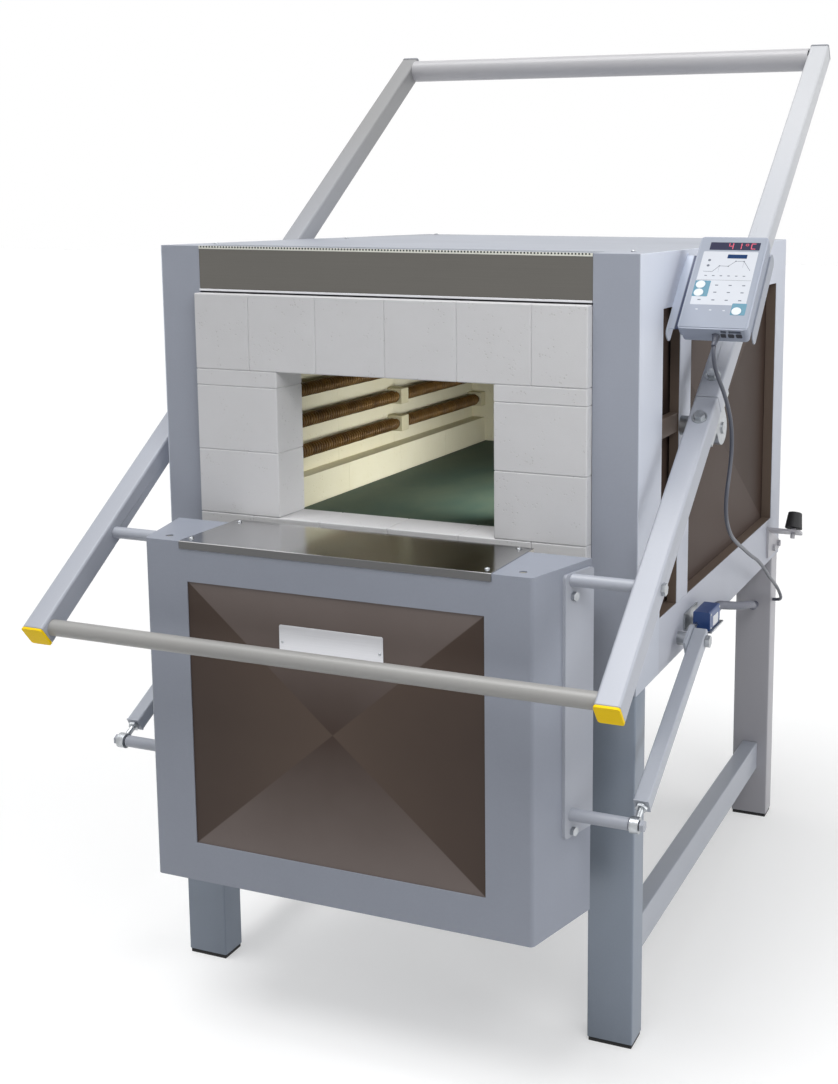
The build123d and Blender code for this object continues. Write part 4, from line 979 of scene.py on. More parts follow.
@dataclass
class Assembly:
    """A group of the furnace's pieces. It fits each one to its body and reports it."""

    frame: dict[str, Any]

    def fit(self, piece: bpy.types.Object, body: Body, slot: str, finish: Finish | None = None,
            replaces: Iterable[str] = ()) -> bpy.types.Object:
        """Fits a piece that was made here.

        Args:
            piece: The piece.
            body: The body that it rides on.
            slot: The record's material slot. Not used.
            finish: Its finish, or None where it already has one.
            replaces: The CAD nodes that it stands for.

        Returns:
            The piece.
        """
        if finish:
            piece.data.materials.clear()
            piece.data.materials.append(finish.material())
        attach(piece, body.value)
        if replaces:
            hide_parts(*replaces)
        log.info("%s rides on %s", piece.name, body.value)
        return piece

    def paint(self, finish: Finish, *nodes: str) -> None:
        """Gives CAD nodes that stay as they are a finish."""
        for name in nodes:
            for slot in self.frame["nodes"][name].material_slots:
                slot.material = finish.material()
            log.info("%s painted with %s", name, finish.name)

    def dressed(self, node: str, body: Body, slot: str, finish: Finish, width: float = 0.0008,
                segments: int = 2) -> bpy.types.Object:
        """Stands a copy of a CAD node with rounded edges in its place.

        Args:
            node: The CAD node.
            body: Its body.
            slot: Its slot.
            finish: Its finish.
            width: Width of the rounding in metres.
            segments: Steps across it.

        Returns:
            The new piece.
        """
        piece = soften(new_piece(f"{node}_dressed", self.merged(node)), width, segments)
        return self.fit(piece, body, slot, finish, (node,))

    def dress(self, body: Body, *rows: tuple[Any, ...]) -> None:
        """Dresses CAD nodes of one body.

        Args:
            body: Their body.
            rows: For each node its name, slot and finish, then width and steps of its rounding where they
                aren't the usual ones.
        """
        for node, slot, finish, *rounding in rows:
            self.dressed(node, body, slot, finish, *rounding)

    def merged(self, node: str) -> bmesh.types.BMesh:
        """A CAD node's shape with each solid whole by itself and its flat faces joined.

        The node lists one solid's triangles after another's, so a solid ends where no edge is left open.
        """
        source = self.frame["nodes"][node].data
        bm = bmesh.new()
        corners: dict[tuple[float, ...], bmesh.types.BMVert] = {}
        unpaired: set[tuple[bmesh.types.BMVert, bmesh.types.BMVert]] = set()
        for face in source.polygons:
            ring = []
            for spot in (source.vertices[index].co for index in face.vertices):
                key = tuple(round(axis, 5) for axis in spot)
                if key not in corners:
                    corners[key] = bm.verts.new(spot)
                ring.append(corners[key])
            if len(set(ring)) < len(ring):
                continue
            bm.faces.new(ring)
            for edge in zip(ring, ring[1:] + ring[:1]):
                if edge[::-1] in unpaired:
                    unpaired.remove(edge[::-1])
                else:
                    unpaired.add(edge)
            if not unpaired:
                corners.clear()
        bmesh.ops.dissolve_limit(bm, angle_limit=math.radians(0.6), verts=bm.verts[:], edges=bm.edges[:])
        return bm

    def plates(self, name: str, face: Plane, outlines: Iterable[Sequence[Pair]], low: float, high: float,
               body: Body, slot: str, finish: Finish, width: float = 0.0) -> bpy.types.Object:
        """Lays flat shapes on a face as one piece.

        Args:
            name: The piece's name.
            face: Where they lie.
            outlines: Their outlines.
            low: Height of their undersides in millimetres.
            high: Height of their tops.
            body: The body that carries them.
            slot: The record's slot.
            finish: Their finish.
            width: Width of their rounding in metres, or 0 for sharp edges.

        Returns:
            The piece.
        """
        bm = bmesh.new()
        for outline in outlines:
            face.slab(bm, outline, low, high)
        piece = new_piece(name, bm)
        return self.fit(soften(piece, width) if width else piece, body, slot, finish)

    def screws(self, name: str, places: Sequence[Vector], body: Body, slot: str, finish: Finish,
               radius: float, tilt: Point = (0.0, 0.0, 0.0), seed: int = 7) -> bpy.types.Object:
        """Sets a pan head screw at each place.

        Args:
            name: The piece's name.
            places: Where the heads sit, on the surface.
            body: The body that carries them.
            slot: The record's slot.
            finish: Their finish.
            radius: The heads' radius in metres.
            tilt: Turn of the heads' axis from upright, in radians.
            seed: Seed of each head's own turn.

        Returns:
            The piece.
        """
        r = radius
        head = new_piece(f"{name}_head", lathe(
            [(r * 0.9, -0.0002), (r, 0.1 * r), (0.97 * r, 0.34 * r), (0.72 * r, 0.56 * r), (0.4 * r, 0.6 * r),
             (0.34 * r, 0.18 * r)], Vector(), Vector((0, 0, 1)), 12))
        bm = bmesh.new()
        for spot in places:
            bm.verts.new(spot)
        done = scatter_tree().run(new_piece(name, bm), finish, Head=head, Tilt=tilt, Seed=seed)
        bpy.data.objects.remove(head)
        return self.fit(done, body, slot)


@dataclass
class Casing(Assembly):
    """The painted casing with its vented top, its stand and its brown side panels."""

    slot_count: int = 125
    slot_pitch: float = 5.75
    slot_width: float = 3.0
    slot_front: float = 10.0
    slot_rear: float = 70.0
    slot_shade_depth: float = 0.3
    lip_depth: float = 1.4
    strip_front: float = 2.0
    strip_rear: float = 74.0
    cover_front: float = 75.0
    cover_rear: float = 1018.0
    strip_half: float = 362.0
    half_width: float = 438.0
    column_rear: float = 118.0
    top: float = 1320.0
    sheet: float = 2.0
    screw_half: float = 395.0
    screw_rows: tuple[float, float, float] = (98.0, 560.0, 980.0)
    front_half: float = 361.5
    lip_low: float = 1314.8
    fold_span: Pair = (1243.0, 1246.5)
    fold_depth: float = 2.5

    def build(self) -> None:
        """Dresses the casing's sheets and frames and makes the vented top."""
        self.dress(
            Body.FURNACE,
            ("side_frames", "body_paint", Paints.SIDE),
            ("front_columns", "body_paint", Paints.COLUMN, 0.0016),
            ("front_apron", "body_paint", Paints.GREY), ("rear_panel", "body_paint", Paints.GREY),
            ("floor_pan", "body_paint", Paints.GREY), ("legs", "body_paint", Paints.LEG, 0.0022),
            ("stand_rails", "body_paint", Paints.RAIL, 0.0022), ("foot_pads", "pad_black", Paints.PAD, 0.001),
            ("fascia_strip", "stainless", Paints.STRIP),
            ("side_panels", "panel_paint", Paints.SIDE_BROWN, 0.0006))
        self.paint(Paints.BOARD, "insulation_boards")
        self.vented_top()
        spots = [place(x, y, self.top) for y in self.screw_rows for x in (-self.screw_half, self.screw_half)]
        self.screws("top_cover_screws", spots, Body.FURNACE, "zinc", Paints.ZINC, 0.0045)

    def slots(self, name: str, cell: bmesh.types.BMesh, finish: Finish) -> bpy.types.Object:
        """Repeats one slot's cell along the whole row."""
        return row_tree().run(new_piece(name, cell), finish, Count=self.slot_count,
                              Pitch=(self.slot_pitch * MM, 0.0, 0.0))

    def vented_top(self) -> None:
        """Makes the slotted strip along the front of the top and the cover sheet behind it."""
        top = Plane(place(0, 0, self.top), Vector((1, 0, 0)), Vector((0, 1, 0)))
        half, pitch = self.slot_width / 2, self.slot_pitch
        first = -(self.slot_count - 1) * pitch / 2
        inner = rectangle(-half, self.slot_front, half, self.slot_rear, half * 0.98, 3)
        halfway = (self.slot_front + self.slot_rear) / 2
        outer = [(math.copysign(pitch / 2, x), self.strip_front if y < halfway else self.strip_rear)
                 for x, y in inner]
        cell = bmesh.new()
        rings = [[cell.verts.new(top.spot(first + x, y)) for x, y in ring] for ring in (inner, outer)]
        for i in range(len(inner)):
            j = (i + 1) % len(inner)
            corners = [rings[1][i], rings[1][j], rings[0][j], rings[0][i]]
            if (corners[0].co - corners[1].co).length <= 1e-7:
                del corners[1]
            cell.faces.new(corners)
        bmesh.ops.remove_doubles(cell, verts=cell.verts[:], dist=1e-6)
        bm = reopened(self.slots("vent_cells", cell, Paints.GREY))
        start, end = first - pitch / 2, first + (self.slot_count - 0.5) * pitch
        inner, wide, front, notch = self.strip_half, self.half_width, self.cover_front, self.column_rear
        for outline in (
                rectangle(-inner, self.strip_front, start, self.strip_rear),
                rectangle(end, self.strip_front, inner, self.strip_rear),
                [(-inner, front), (inner, front), (inner, notch), (wide, notch), (wide, self.cover_rear),
                 (-wide, self.cover_rear), (-wide, notch), (-inner, notch)]):
            bm.faces.new([bm.verts.new(top.spot(x, y)) for x, y in outline])
        bmesh.ops.remove_doubles(bm, verts=bm.verts[:], dist=1e-6)
        bm.normal_update()
        bmesh.ops.reverse_faces(bm, faces=[face for face in bm.faces if face.normal.z < 0])
        cover = new_piece("top_cover_vented", bm)
        wall = cover.modifiers.new("sheet", "SOLIDIFY")
        wall.thickness, wall.offset = self.sheet * MM, -1.0
        self.fit(shade(settle(cover), False), Body.FURNACE, "body_paint", Paints.GREY, ("top_cover",))
        self.slot_shade(top, first)
        self.front_folds()

    def slot_shade(self, top: Plane, first: float) -> None:
        """Fills the slots to just below the sheet with dark pieces, lays a dark sheet under the whole row,
        and sets dark marks for notches on the front lip: all painted shade.

        Args:
            top: The cover's upper surface.
            first: The first slot's place along the row, in millimetres.
        """
        half = self.slot_width / 2 - 0.05
        cell = bmesh.new()
        slot = rectangle(first - half, self.slot_front + 0.5, first + half, self.slot_rear - 0.5, 1.2)
        top.slab(cell, slot, -self.sheet, -self.slot_shade_depth)
        bm = reopened(self.slots("gauze_rows", cell, Paints.VENT_SHADE))
        # A dark sheet under the whole row: painted shade below the slots.
        top.slab(bm, rectangle(-360, self.slot_front - 3, 360, self.slot_rear + 3), -2.4, -2.05)
        self.fit(shade(new_piece("vent_gauze", bm), False), Body.FURNACE, "pad_black", Paints.VENT_SHADE)
        # Dark marks on the front lip's face: painted shade for its notches.
        front = Plane(place(0, -self.lip_depth, 0), Vector((1, 0, 0)), Vector((0, 0, 1)))
        cell = bmesh.new()
        notch = rectangle(first - half, self.top - 2.9, first + half, self.top - 0.2, 0.6)
        front.slab(cell, notch, -0.3, 0.08)
        notches = self.slots("vent_lip_notches", cell, Paints.VENT_SHADE)
        self.fit(shade(notches, False), Body.FURNACE, "pad_black")

    def front_folds(self) -> None:
        """Folds the top's front edge down over the fascia, and the fascia's own lower edge out. Both folds
        get much lighter finishes than their sheets, as a painted highlight along each fold.
        """
        front = Plane(place(0, 0, 0), Vector((1, 0, 0)), Vector((0, 0, 1)))
        for name, low, high, deep, slot, finish in (
                ("vent_strip_lip", self.lip_low, self.top, self.lip_depth, "body_paint", Paints.LIP),
                ("fascia_lower_fold", *self.fold_span, self.fold_depth, "stainless", Paints.PLATE)):
            outline = rectangle(-self.front_half, low, self.front_half, high)
            self.plates(name, front, [outline], 0.05, deep, Body.FURNACE, slot, finish, 0.0003)


@dataclass
class BrickFront(Assembly):
    """The brick front round the mouth, and the bricks, plate and heaters of the chamber."""

    joint: float = 0.0015
    coil_x: float = 243.0
    coil_heights: tuple[float, float, float] = (948.0, 1004.0, 1060.0)
    front_span: Pair = (90.0, 474.0)
    rear_span: Pair = (516.0, 860.0)
    wire_radius: float = 0.0026
    coil_radius: float = 0.0104
    turn_pitch: float = 8.5

    def build(self) -> None:
        """Dresses the bricks and winds the heaters."""
        self.dress(
            Body.FURNACE,
            *((f"{row}_bricks", "brick", Paints.BRICK, self.joint) for row in ("lintel", "jamb", "sill")),
            *((f"{row}_bricks", "brick", Paints.LINING, 0.0012) for row in ("wall", "floor", "curb")),
            ("roof_bricks", "brick", Paints.ROOF, 0.0012), ("hearth_plate", "hearth", Paints.HEARTH, 0.0015),
            ("element_holders", "ceramic_white", Paints.CERAMIC, 0.0016),
            ("element_tubes", "ceramic_white", Paints.STAINED, 0.0006),
            ("temperature_probe", "probe_sheath", Paints.PROBE))
        self.wind()

    def wind(self) -> None:
        """Winds each heater's two runs of wire and joins them to one piece."""
        tree = winding_tree()
        joined = bmesh.new()
        for start, end in (self.front_span, self.rear_span):
            bm = bmesh.new()
            for x in (-self.coil_x, self.coil_x):
                for z in self.coil_heights:
                    bm.verts.new(place(x, start, z))
            run = tree.run(new_piece("winding_run", bm), Paints.WIRE, Turns=(end - start) / self.turn_pitch,
                           Length=(end - start) * MM, Coil_Radius=self.coil_radius,
                           Wire_Radius=self.wire_radius, Steps=12)
            joined.from_mesh(run.data)
            bpy.data.objects.remove(run)
        self.fit(new_piece("heating_windings", joined), Body.FURNACE, "heating_wire", Paints.WIRE,
                 ("heating_coils",))


@dataclass
class ArmFrame(Assembly):
    """The swinging arms with their bars, and the pivots that carry them."""

    def build(self) -> None:
        """Dresses the arms, bars, blocks and posts."""
        self.dress(
            Body.ARMS,
            ("arm_right", "body_paint", Paints.ARM_RIGHT, 0.003, 3),
            ("arm_left", "body_paint", Paints.ARM_LEFT, 0.003, 3),
            ("handle_bar", "body_paint", Paints.HANDLE, 0.0006),
            ("rear_crossbar", "body_paint", Paints.CROSSBAR, 0.0006),
            ("end_caps", "cap_plastic", Paints.CAP, 0.0012), ("bearing_blocks", "zinc", Paints.ZINC))
        self.paint(Paints.ZINC, "arm_bolts", "pivot_shafts", "link_bolts")
        self.dress(
            Body.FURNACE,
            ("pivot_posts", "body_paint", Paints.SIDE), ("buffer_brackets", "body_paint", Paints.LEG, 0.0006),
            ("rubber_buffers", "black_rubber", Paints.RUBBER, 0.0006))


@dataclass
class Door(Assembly):
    """The door with its brown panel, its stainless cover, its bare nameplate and its insulation."""

    plate_half: float = 93.0
    plate_low: float = 676.0
    plate_high: float = 732.0
    plate_thick: float = 1.0
    cover_top: float = 852.5
    cover_screws: tuple[Pair, ...] = ((-266.0, -180.0), (-262.0, -50.0), (262.0, -180.0),
                                                     (258.0, -50.0))

    def build(self) -> None:
        """Dresses the door's sheets, bars and insulation, and adds its plate and screws."""
        self.dress(
            Body.DOOR,
            ("door_shell", "body_paint", Paints.DOOR, 0.002, 3),
            ("door_front_panel", "panel_paint", Paints.DOOR_BROWN, 0.0006),
            ("door_top_cover", "stainless", Paints.MIRROR, 0.0006),
            ("door_bars", "body_paint", Paints.INNER, 0.0006),
            ("door_insulation", "fibre", Paints.FIBRE, 0.004, 3))
        self.paint(Paints.ZINC, "door_bolts")
        spots = [place(x, y, self.cover_top) for x, y in self.cover_screws]
        self.screws("door_cover_screws", spots, Body.DOOR, "zinc", Paints.ZINC, 0.0042, seed=3)
        self.nameplate()

    def nameplate(self) -> None:
        """Fixes the bare plate where the brown panel carries it, with a screw at each end."""
        panel = BVHTree.FromBMesh(self.merged("door_front_panel"))
        hits = [panel.ray_cast(place(x, -400.0, z), Vector((0, 1, 0)))[0]
                for x in (-self.plate_half, self.plate_half) for z in (self.plate_low, self.plate_high)]
        front = min(hit.y for hit in hits if hit) - 0.0001
        face = Plane(Vector((MIDDLE_X, front, 0.0)), Vector((1, 0, 0)), Vector((0, 0, 1)))
        outline = rectangle(-self.plate_half, self.plate_low, self.plate_half, self.plate_high, 3.0)
        self.plates("bare_nameplate", face, [outline], 0.0, self.plate_thick, Body.DOOR, "stainless",
                    Paints.PLATE, 0.0003)
        middle = (self.plate_low + self.plate_high) / 2
        self.screws("nameplate_screws", [face.spot(x, middle, self.plate_thick) for x in (
            6 - self.plate_half, self.plate_half - 6)], Body.DOOR, "zinc", Paints.ZINC, 0.0026,
            (math.pi / 2, 0.0, 0.0), 5)


@dataclass
class LowerLinks(Assembly):
    """The two links under the arms with their rod ends."""

    def build(self) -> None:
        """Dresses the links and their rod ends."""
        for side, body in (("right", Body.RIGHT_LINK), ("left", Body.LEFT_LINK)):
            self.dressed(f"link_{side}", body, "body_paint", Paints.RAIL, 0.0014)
            self.paint(Paints.ZINC, f"rod_end_{side}")


@dataclass
class DoorSwitch(Assembly):
    """The door switch with its bracket, its blank label and its cover screws."""

    outer_x: float = 488.0
    middle_y: float = 300.0
    middle_z: float = 665.0

    def build(self) -> None:
        """Dresses the switch and adds its label and screws."""
        self.dress(Body.FURNACE, ("limit_switch", "switch_blue", Paints.SWITCH, 0.0012),
                   ("switch_bracket", "zinc", Paints.ZINC, 0.0006))
        self.paint(Paints.PLUNGER, "switch_plunger")
        side = Plane(place(self.outer_x, self.middle_y, self.middle_z), Vector((0, 1, 0)), Vector((0, 0, 1)))
        self.plates("switch_blank_label", side, [rectangle(-16.0, -9.0, 17.0, 9.0, 1.5)], 0.0, 0.35,
                    Body.FURNACE, "switch_blue", Paints.LABEL)
        self.screws("switch_cover_screws", [side.spot(a, b) for a in (-31.0, 25.0) for b in (-8.0, 16.0)],
                    Body.FURNACE, "zinc", Paints.ZINC, 0.0022, (0.0, math.pi / 2, 0.0), 13)


@dataclass
class Controller(Assembly):
    """The hand controller on its bracket, with its printed face, its display and its keys."""

    middle: Point = (527.5, 163.9, 1271.0)
    upwards: Point = (0.0, 0.6997, 0.7145)
    strokes: dict[str, tuple[tuple[int, int, int, int], ...]] = field(default_factory=lambda: {
        "a": ((0, 2, 1, 2),), "b": ((1, 1, 1, 2),), "c": ((1, 0, 1, 1),), "d": ((0, 0, 1, 0),),
        "e": ((0, 0, 0, 1),), "f": ((0, 1, 0, 2),), "g": ((0, 1, 1, 1),)})
    curve: tuple[Pair, ...] = ((-38.9, 22.0), (-24.2, 21.5), (-14.2, 34.3), (0.7, 33.7),
                                              (11.4, 45.0), (25.0, 44.9), (38.2, 25.5))
    key_holes: tuple[tuple[float, tuple[float, ...], float], ...] = (
        (-37.4, (-23.8, -6.6), 8.1), (32.6, (-61.1,), 8.1))
    legend_rows: tuple[tuple[float, tuple[float, ...]], ...] = (
        (-7.4, (-10.4, 12.0, 34.5)), (-22.5, (-10.4, 12.0, 34.5)), (-39.0, (-33.3, -10.3, 11.8, 34.0)))

    def build(self) -> None:
        """Dresses the housing and draws its face."""
        self.dress(Body.FURNACE, ("controller_bracket", "body_paint", Paints.BRACKET),
                   ("controller_housing", "controller_case", Paints.CASE, 0.0012))
        self.paint(Paints.MEMBRANE, "controller_face")
        for number, body in enumerate((Body.KEY_1, Body.KEY_2, Body.KEY_3), 1):
            self.dressed(f"controller_key_{number}", body, "key_white", Paints.KEY, 0.0004)
        self.face = Plane(place(*self.middle), Vector((1, 0, 0)), Vector(self.upwards).normalized())
        marks = [rectangle(x - 2.0, y - 1.0, x + 2.0, y + 1.0, 0.8)
                 for x, y in ((-33.2, -58.9), (-10.4, -60.0), (11.9, -60.6))]
        pair, single = self.key_holes
        white = pierced(rectangle(-46.7, -49.0, 45.5, 65.8, 2.0), *pair)
        teal = (pierced(rectangle(-47.6, -32.0, -21.5, 1.9, 1.5), *pair)
                + pierced(rectangle(23.3, -69.4, 47.4, -45.0, 1.5), *single))
        for name, outlines, low, high, finish in (
                ("white_field", white, 0.82, 0.9, Paints.WHITE),
                ("teal_fields", teal, 0.86, 0.97, Paints.TEAL),
                ("display", [rectangle(-38.5, 69.4, 45.8, 86.2, 1.0)], 0.82, 1.0, Paints.WINDOW),
                ("small_display", [rectangle(-4.4, 50.9, 28.3, 59.6, 0.8)], 0.86, 1.0, Paints.SMALL_WINDOW),
                ("digits", self.reading(), 0.99, 1.08, Paints.DIGITS),
                ("legends", self.legends(), 0.88, 0.96, Paints.INK),
                ("lamps", marks, 0.82, 0.95, Paints.WHITE)):
            self.plates(f"controller_{name}", self.face, outlines, low, high, Body.FURNACE,
                        "controller_membrane", finish)
        self.sockets()

    def reading(self) -> list[list[Pair]]:
        """The display's figures: a temperature of 41 degrees, in seven strokes each."""
        shapes = []
        low, rise = 72.4, 5.6
        for left, lit, width in ((-6.0, "fgbc", 6.4), (11.0, "bc", 3.4), (31.5, "aefd", 6.4)):
            for x0, y0, x1, y1 in (line for letter in lit for line in self.strokes[letter]):
                ends = [(left + x * width, low + y * rise) for x, y in ((x0, y0), (x1, y1))]
                shapes.append(stroke(*ends, 1.25))
        ring = disc(24.0, 81.2, 2.3, 8)
        return shapes + [stroke(p, q, 0.9) for p, q in zip(ring, ring[1:] + ring[:1])]

    def legends(self) -> list[list[Pair]]:
        """The programme curve, its marks, the divider and the small legends."""
        shapes = [stroke(p, q, 0.8) for p, q in zip(self.curve, self.curve[1:])]
        shapes += [disc(x, y, 1.3, 10) for x, y in self.curve[2:6]]
        shapes += [disc(-33.4, y, 2.6, 14) for y in (46.5, 34.8)]
        shapes += [stroke((x, 12.8), (x + 2.6, 12.8), 1.7) for x in (-34.4, -21.6, -8.8, 4.0, 16.8, 29.6)]
        shapes += [stroke((x, y - 13.0), (x, y - 1.6), 0.3) for x, y in self.curve[2:6:3]]
        shapes.append(stroke((-45.6, 3.5), (44.4, 3.5), 0.5))
        for y, row in self.legend_rows:
            shapes += [stroke((x - 1.6, y), (x + 1.6, y), 2.0) for x in row]
        return shapes

    def sockets(self) -> None:
        """Sets the dark sockets into the controller's lower end."""
        end = Plane(self.face.spot(0.0, -99.0, -15.0), Vector((1, 0, 0)), self.face.out)
        holes = [rectangle(-2.0, -5.0, 6.0, 4.0, 2.0)]
        holes += [rectangle(x0, -4.5, x1, 4.5, 2.0) for x0, x1 in ((12.0, 21.0), (24.0, 34.0), (37.0, 47.0))]
        self.plates("controller_sockets", end, holes, -0.2, 0.5, Body.FURNACE, "controller_case",
                    Paints.SOCKET)


@dataclass
class Cables(Assembly):
    """The controller's cable and the switch's ribbed conduit."""

    cable_route: tuple[Point, ...] = (
        (532, 106.0, 1189.1), (532, 88.5, 1171.2), (533, 93, 1147), (533, 114, 1125), (534, 142, 1102),
        (534, 176, 1072), (534, 205, 1036), (534, 214, 996), (534, 203, 956), (533, 186, 916),
        (530, 196, 880), (525, 232, 850), (519, 284, 820), (511, 365, 788), (499, 445, 762),
        (491, 542, 724), (484, 634, 692), (477, 720, 654), (470, 805, 612), (464, 880, 580),
        (462, 930, 553), (462, 966, 524), (453, 984, 513), (438, 984, 513))
    cable_diameter: float = 0.007
    cable_length: float = 1.2568
    conduit_route: tuple[Point, ...] = (
        (472, 330, 670), (472, 372, 670), (469, 440, 650), (464, 520, 627), (457, 612, 601), (441, 738, 567),
        (418, 878, 528), (403, 935, 503), (403, 965, 503))
    conduit_diameter: float = 0.016
    conduit_length: float = 0.6639

    def line(self, name: str, route: Sequence[Point], bevel: float) -> bpy.types.Object:
        """A smooth curve whose control points are a route's.

        Args:
            name: The curve's name.
            route: Points of the drawing in millimetres.
            bevel: Radius of the cable in metres, or 0 for the bare line.

        Returns:
            The curve object.
        """
        curve = bpy.data.curves.new(name, "CURVE")
        curve.dimensions = "3D"
        curve.resolution_u = 12
        curve.bevel_depth, curve.bevel_resolution, curve.use_fill_caps = bevel, 5, bevel > 0
        spline = curve.splines.new("NURBS")
        spline.points.add(len(route) - 1)
        for point, spot in zip(spline.points, route):
            point.co = (*place(*spot), 1.0)
        spline.use_endpoint_u = True
        spline.order_u = 3
        return placed(name, curve)

    def build(self) -> None:
        """Lays the cable and the conduit."""
        cable = self.line("controller_cable_sheath", self.cable_route, self.cable_diameter / 2)
        cable.data.materials.append(Paints.CABLE.material())
        self.fit(cable, Body.FURNACE, "cable_grey", None, ("controller_cable",))
        first, second = (place(*p) for p in self.cable_route[:2])
        bm = lathe([(0.0062, -0.0005), (0.0064, 0.003), (0.0058, 0.0035), (0.0058, 0.006), (0.0052, 0.0065),
                    (0.0052, 0.0095), (0.0047, 0.01), (0.0047, 0.013), (0.0042, 0.0135), (0.0040, 0.021)],
                   first, (second - first).normalized(), 20)
        relief = self.fit(new_piece("cable_strain_relief", bm), Body.FURNACE, "cable_grey", Paints.CABLE)
        guide = settle(self.line("conduit_line", self.conduit_route, 0.0))
        conduit = ribbed_tube_tree().run(guide, Paints.CONDUIT, Radius=self.conduit_diameter / 2,
                                         Rib_Height=0.0009, Rib_Pitch=0.0042, Steps_per_Rib=4)
        conduit.name = "switch_conduit_ribbed"
        self.fit(conduit, Body.FURNACE, "conduit_grey", None, ("switch_conduit",))
        start, later = (place(*p) for p in self.conduit_route[:2])
        bm = lathe([(0.0094, 0.0), (0.0098, 0.001), (0.0098, 0.009), (0.0090, 0.0105), (0.0083, 0.0115)],
                   start, (later - start).normalized(), 6)
        gland = self.fit(soften(new_piece("conduit_gland", bm), 0.0004), Body.FURNACE, "conduit_grey",
                         Paints.SOCKET)


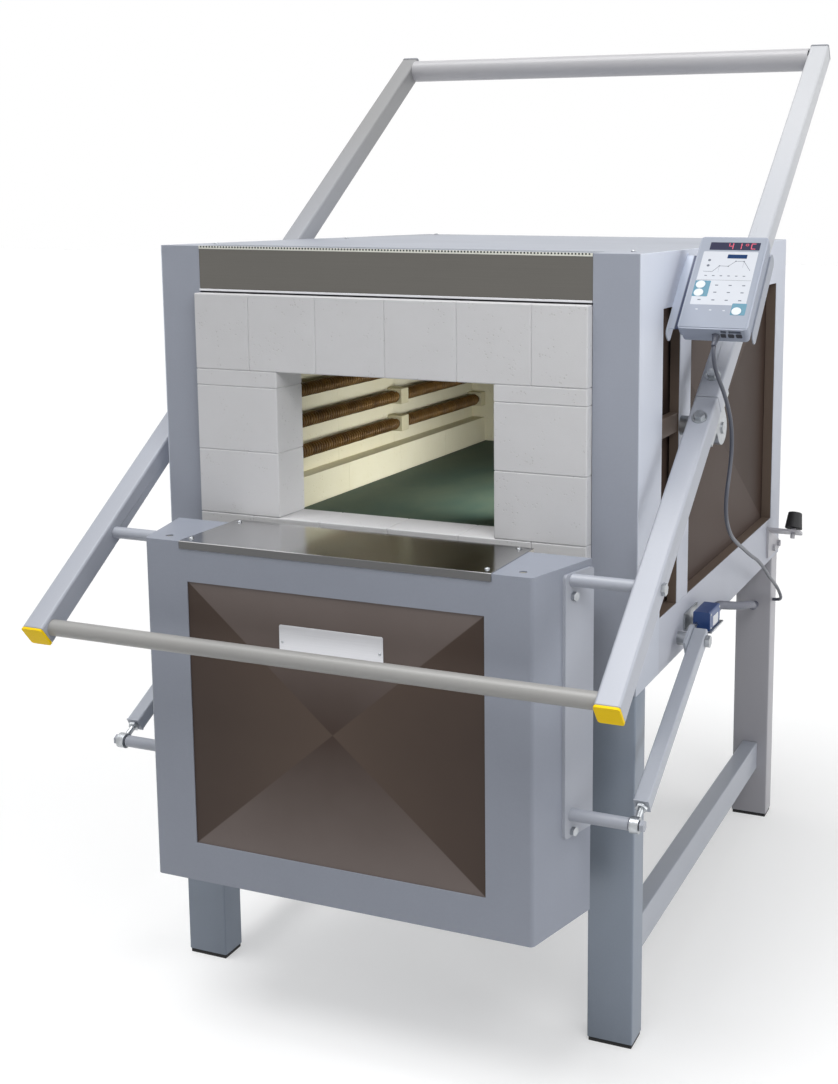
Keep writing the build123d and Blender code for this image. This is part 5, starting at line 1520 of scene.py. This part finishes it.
@dataclass
class Studio:
    """Camera, lamps, sky and floor."""

    picture_height: int = 1084
    picture_width: int = 838
    focal_pixels: float = 1404.723
    axis_pixels: Pair = (588.307, 412.402)
    station: Point = (1.08262, -2.43702, 1.39684)
    yaw: float = 20.3204
    pitch: float = 8.4871
    roll: float = 0.3256
    sensor: float = 24.0
    sky: float = 0.2
    floor_lift: float = 0.44

    def camera(self) -> None:
        """Sets the camera at the photograph's station."""
        yaw, pitch, roll = (math.radians(v) for v in (self.yaw, self.pitch, self.roll))
        ahead = Vector((-math.sin(yaw) * math.cos(pitch), math.cos(yaw) * math.cos(pitch), -math.sin(pitch)))
        level = Vector((math.cos(yaw), math.sin(yaw), 0.0))
        above = level.cross(ahead)
        right = math.cos(roll) * level + math.sin(roll) * above
        up = math.cos(roll) * above - math.sin(roll) * level
        data = bpy.data.cameras.new("camera")
        data.sensor_fit, data.sensor_height = "VERTICAL", self.sensor
        data.lens = self.focal_pixels * self.sensor / self.picture_height
        data.shift_x = (self.picture_width / 2 - self.axis_pixels[0]) / self.picture_height
        data.shift_y = (self.axis_pixels[1] - self.picture_height / 2) / self.picture_height
        data.clip_end = 200.0
        camera = placed("camera", data)
        camera.matrix_world = Matrix.Translation(Vector(self.station)) @ Matrix(
            (right, up, -ahead)).transposed().to_4x4()
        bpy.context.scene.camera = camera

    def light(self, name: str, kind: str, towards: Vector, power: float, **settings: Any) -> bpy.types.Object:
        """Adds a light.

        Args:
            name: Its name.
            kind: Its type.
            towards: The direction in which it shines.
            power: Its strength, or watts for a lamp.
            settings: Its other settings, by name.

        Returns:
            The light's object.
        """
        data = bpy.data.lights.new(name, kind)
        data.energy = power
        for setting, value in settings.items():
            setattr(data, setting, value)
        light = placed(name, data)
        light.rotation_euler = towards.to_track_quat("-Z", "Y").to_euler()
        return light

    def lamp(self, name: str, spot: Point, aim: Point, size: Pair, power: float,
             spread: float = 180.0) -> None:
        """Hangs a soft rectangular lamp.

        Args:
            name: The lamp's name.
            spot: Where it hangs, in metres.
            aim: What it faces.
            size: Its sides in metres.
            power: Its power in watts.
            spread: How wide it shines, in degrees.
        """
        lamp = self.light(name, "AREA", Vector(aim) - Vector(spot), power, shape="RECTANGLE", size=size[0],
                          size_y=size[1], spread=math.radians(spread))
        lamp.visible_camera = False
        lamp.location = spot

    def seen(self, builder: NodeBuilder) -> Value:
        """1 for what the camera sees, straight or in gloss or glass, and 0 for light on the object."""
        path = builder.add("ShaderNodeLightPath").outputs
        camera, glossy, clear = (Value(builder, path[f"Is {kind} Ray"])
                                 for kind in ("Camera", "Glossy", "Transmission"))
        return (camera + glossy + clear).held()

    def surroundings(self) -> None:
        """Makes the white sky and the pale floor."""
        scene = bpy.context.scene
        scene.view_settings.view_transform = "Standard"
        world = bpy.data.worlds.new("white_studio")
        world.use_nodes = True
        scene.world = world
        world.node_tree.nodes.clear()
        sky = NodeBuilder(world.node_tree)
        light, white = (
            sky.add("ShaderNodeBackground", inputs={"Color": colour, "Strength": strength}).outputs[0]
            for colour, strength in (((0.97, 0.985, 1.0, 1.0), self.sky), ((1.0, 1.0, 1.0, 1.0), 1.0)))
        mix = sky.add("ShaderNodeMixShader", inputs={0: self.seen(sky), 1: light, 2: white})
        sky.add("ShaderNodeOutputWorld", inputs={"Surface": mix.outputs[0]})
        bm = bmesh.new()
        bmesh.ops.create_grid(bm, x_segments=8, y_segments=8, size=30.0)
        floor = new_piece("studio_floor", bm)
        tree = FinishTree("pale_floor")
        tint = tree.mixed(tree.noise(0.8, 2.0), (0.59, 0.59, 0.59, 1.0), (0.61, 0.61, 0.61, 1.0))
        diffuse = tree.add("ShaderNodeBsdfDiffuse", inputs={"Color": tint})
        lift = tree.add("ShaderNodeEmission", inputs={"Strength": self.seen(tree) * self.floor_lift})
        both = tree.add("ShaderNodeAddShader", inputs={0: diffuse.outputs[0], 1: lift.outputs[0]})
        tree.add("ShaderNodeOutputMaterial", inputs={"Surface": both.outputs[0]})
        floor.data.materials.append(tree.material)

    def lights(self) -> None:
        """Hangs the lights: a broad one overhead, one from the right, a weak fill and one for the chamber."""
        self.light("overhead", "SUN", Vector((0.2, 0.2, -1.0)), 2.25, angle=math.radians(40.0))
        self.light("right_side", "SUN", Vector((-1.0, -0.28, -0.22)), 1.15, angle=math.radians(50.0))
        self.lamp("front_fill", (1.6, -1.7, 2.4), (0.2, -0.3, 1.1), (1.4, 1.0), 22.0)
        self.lamp("chamber_fill", (0.165, -0.05, 0.95), (-0.3, 0.1, 0.82), (0.42, 0.14), 1.15, 120.0)


def main() -> None:
    """Builds the studio and the furnace's pieces in order."""
    logging.basicConfig(level=logging.INFO, format="%(name)s: %(message)s")
    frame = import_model()
    studio = Studio()
    studio.camera()
    Cables(frame).build()
    for part in (Casing, BrickFront, ArmFrame, Door, LowerLinks, DoorSwitch, Controller):
        part(frame).build()
    studio.surroundings()
    studio.lights()


if __name__ == "__main__":
    main()
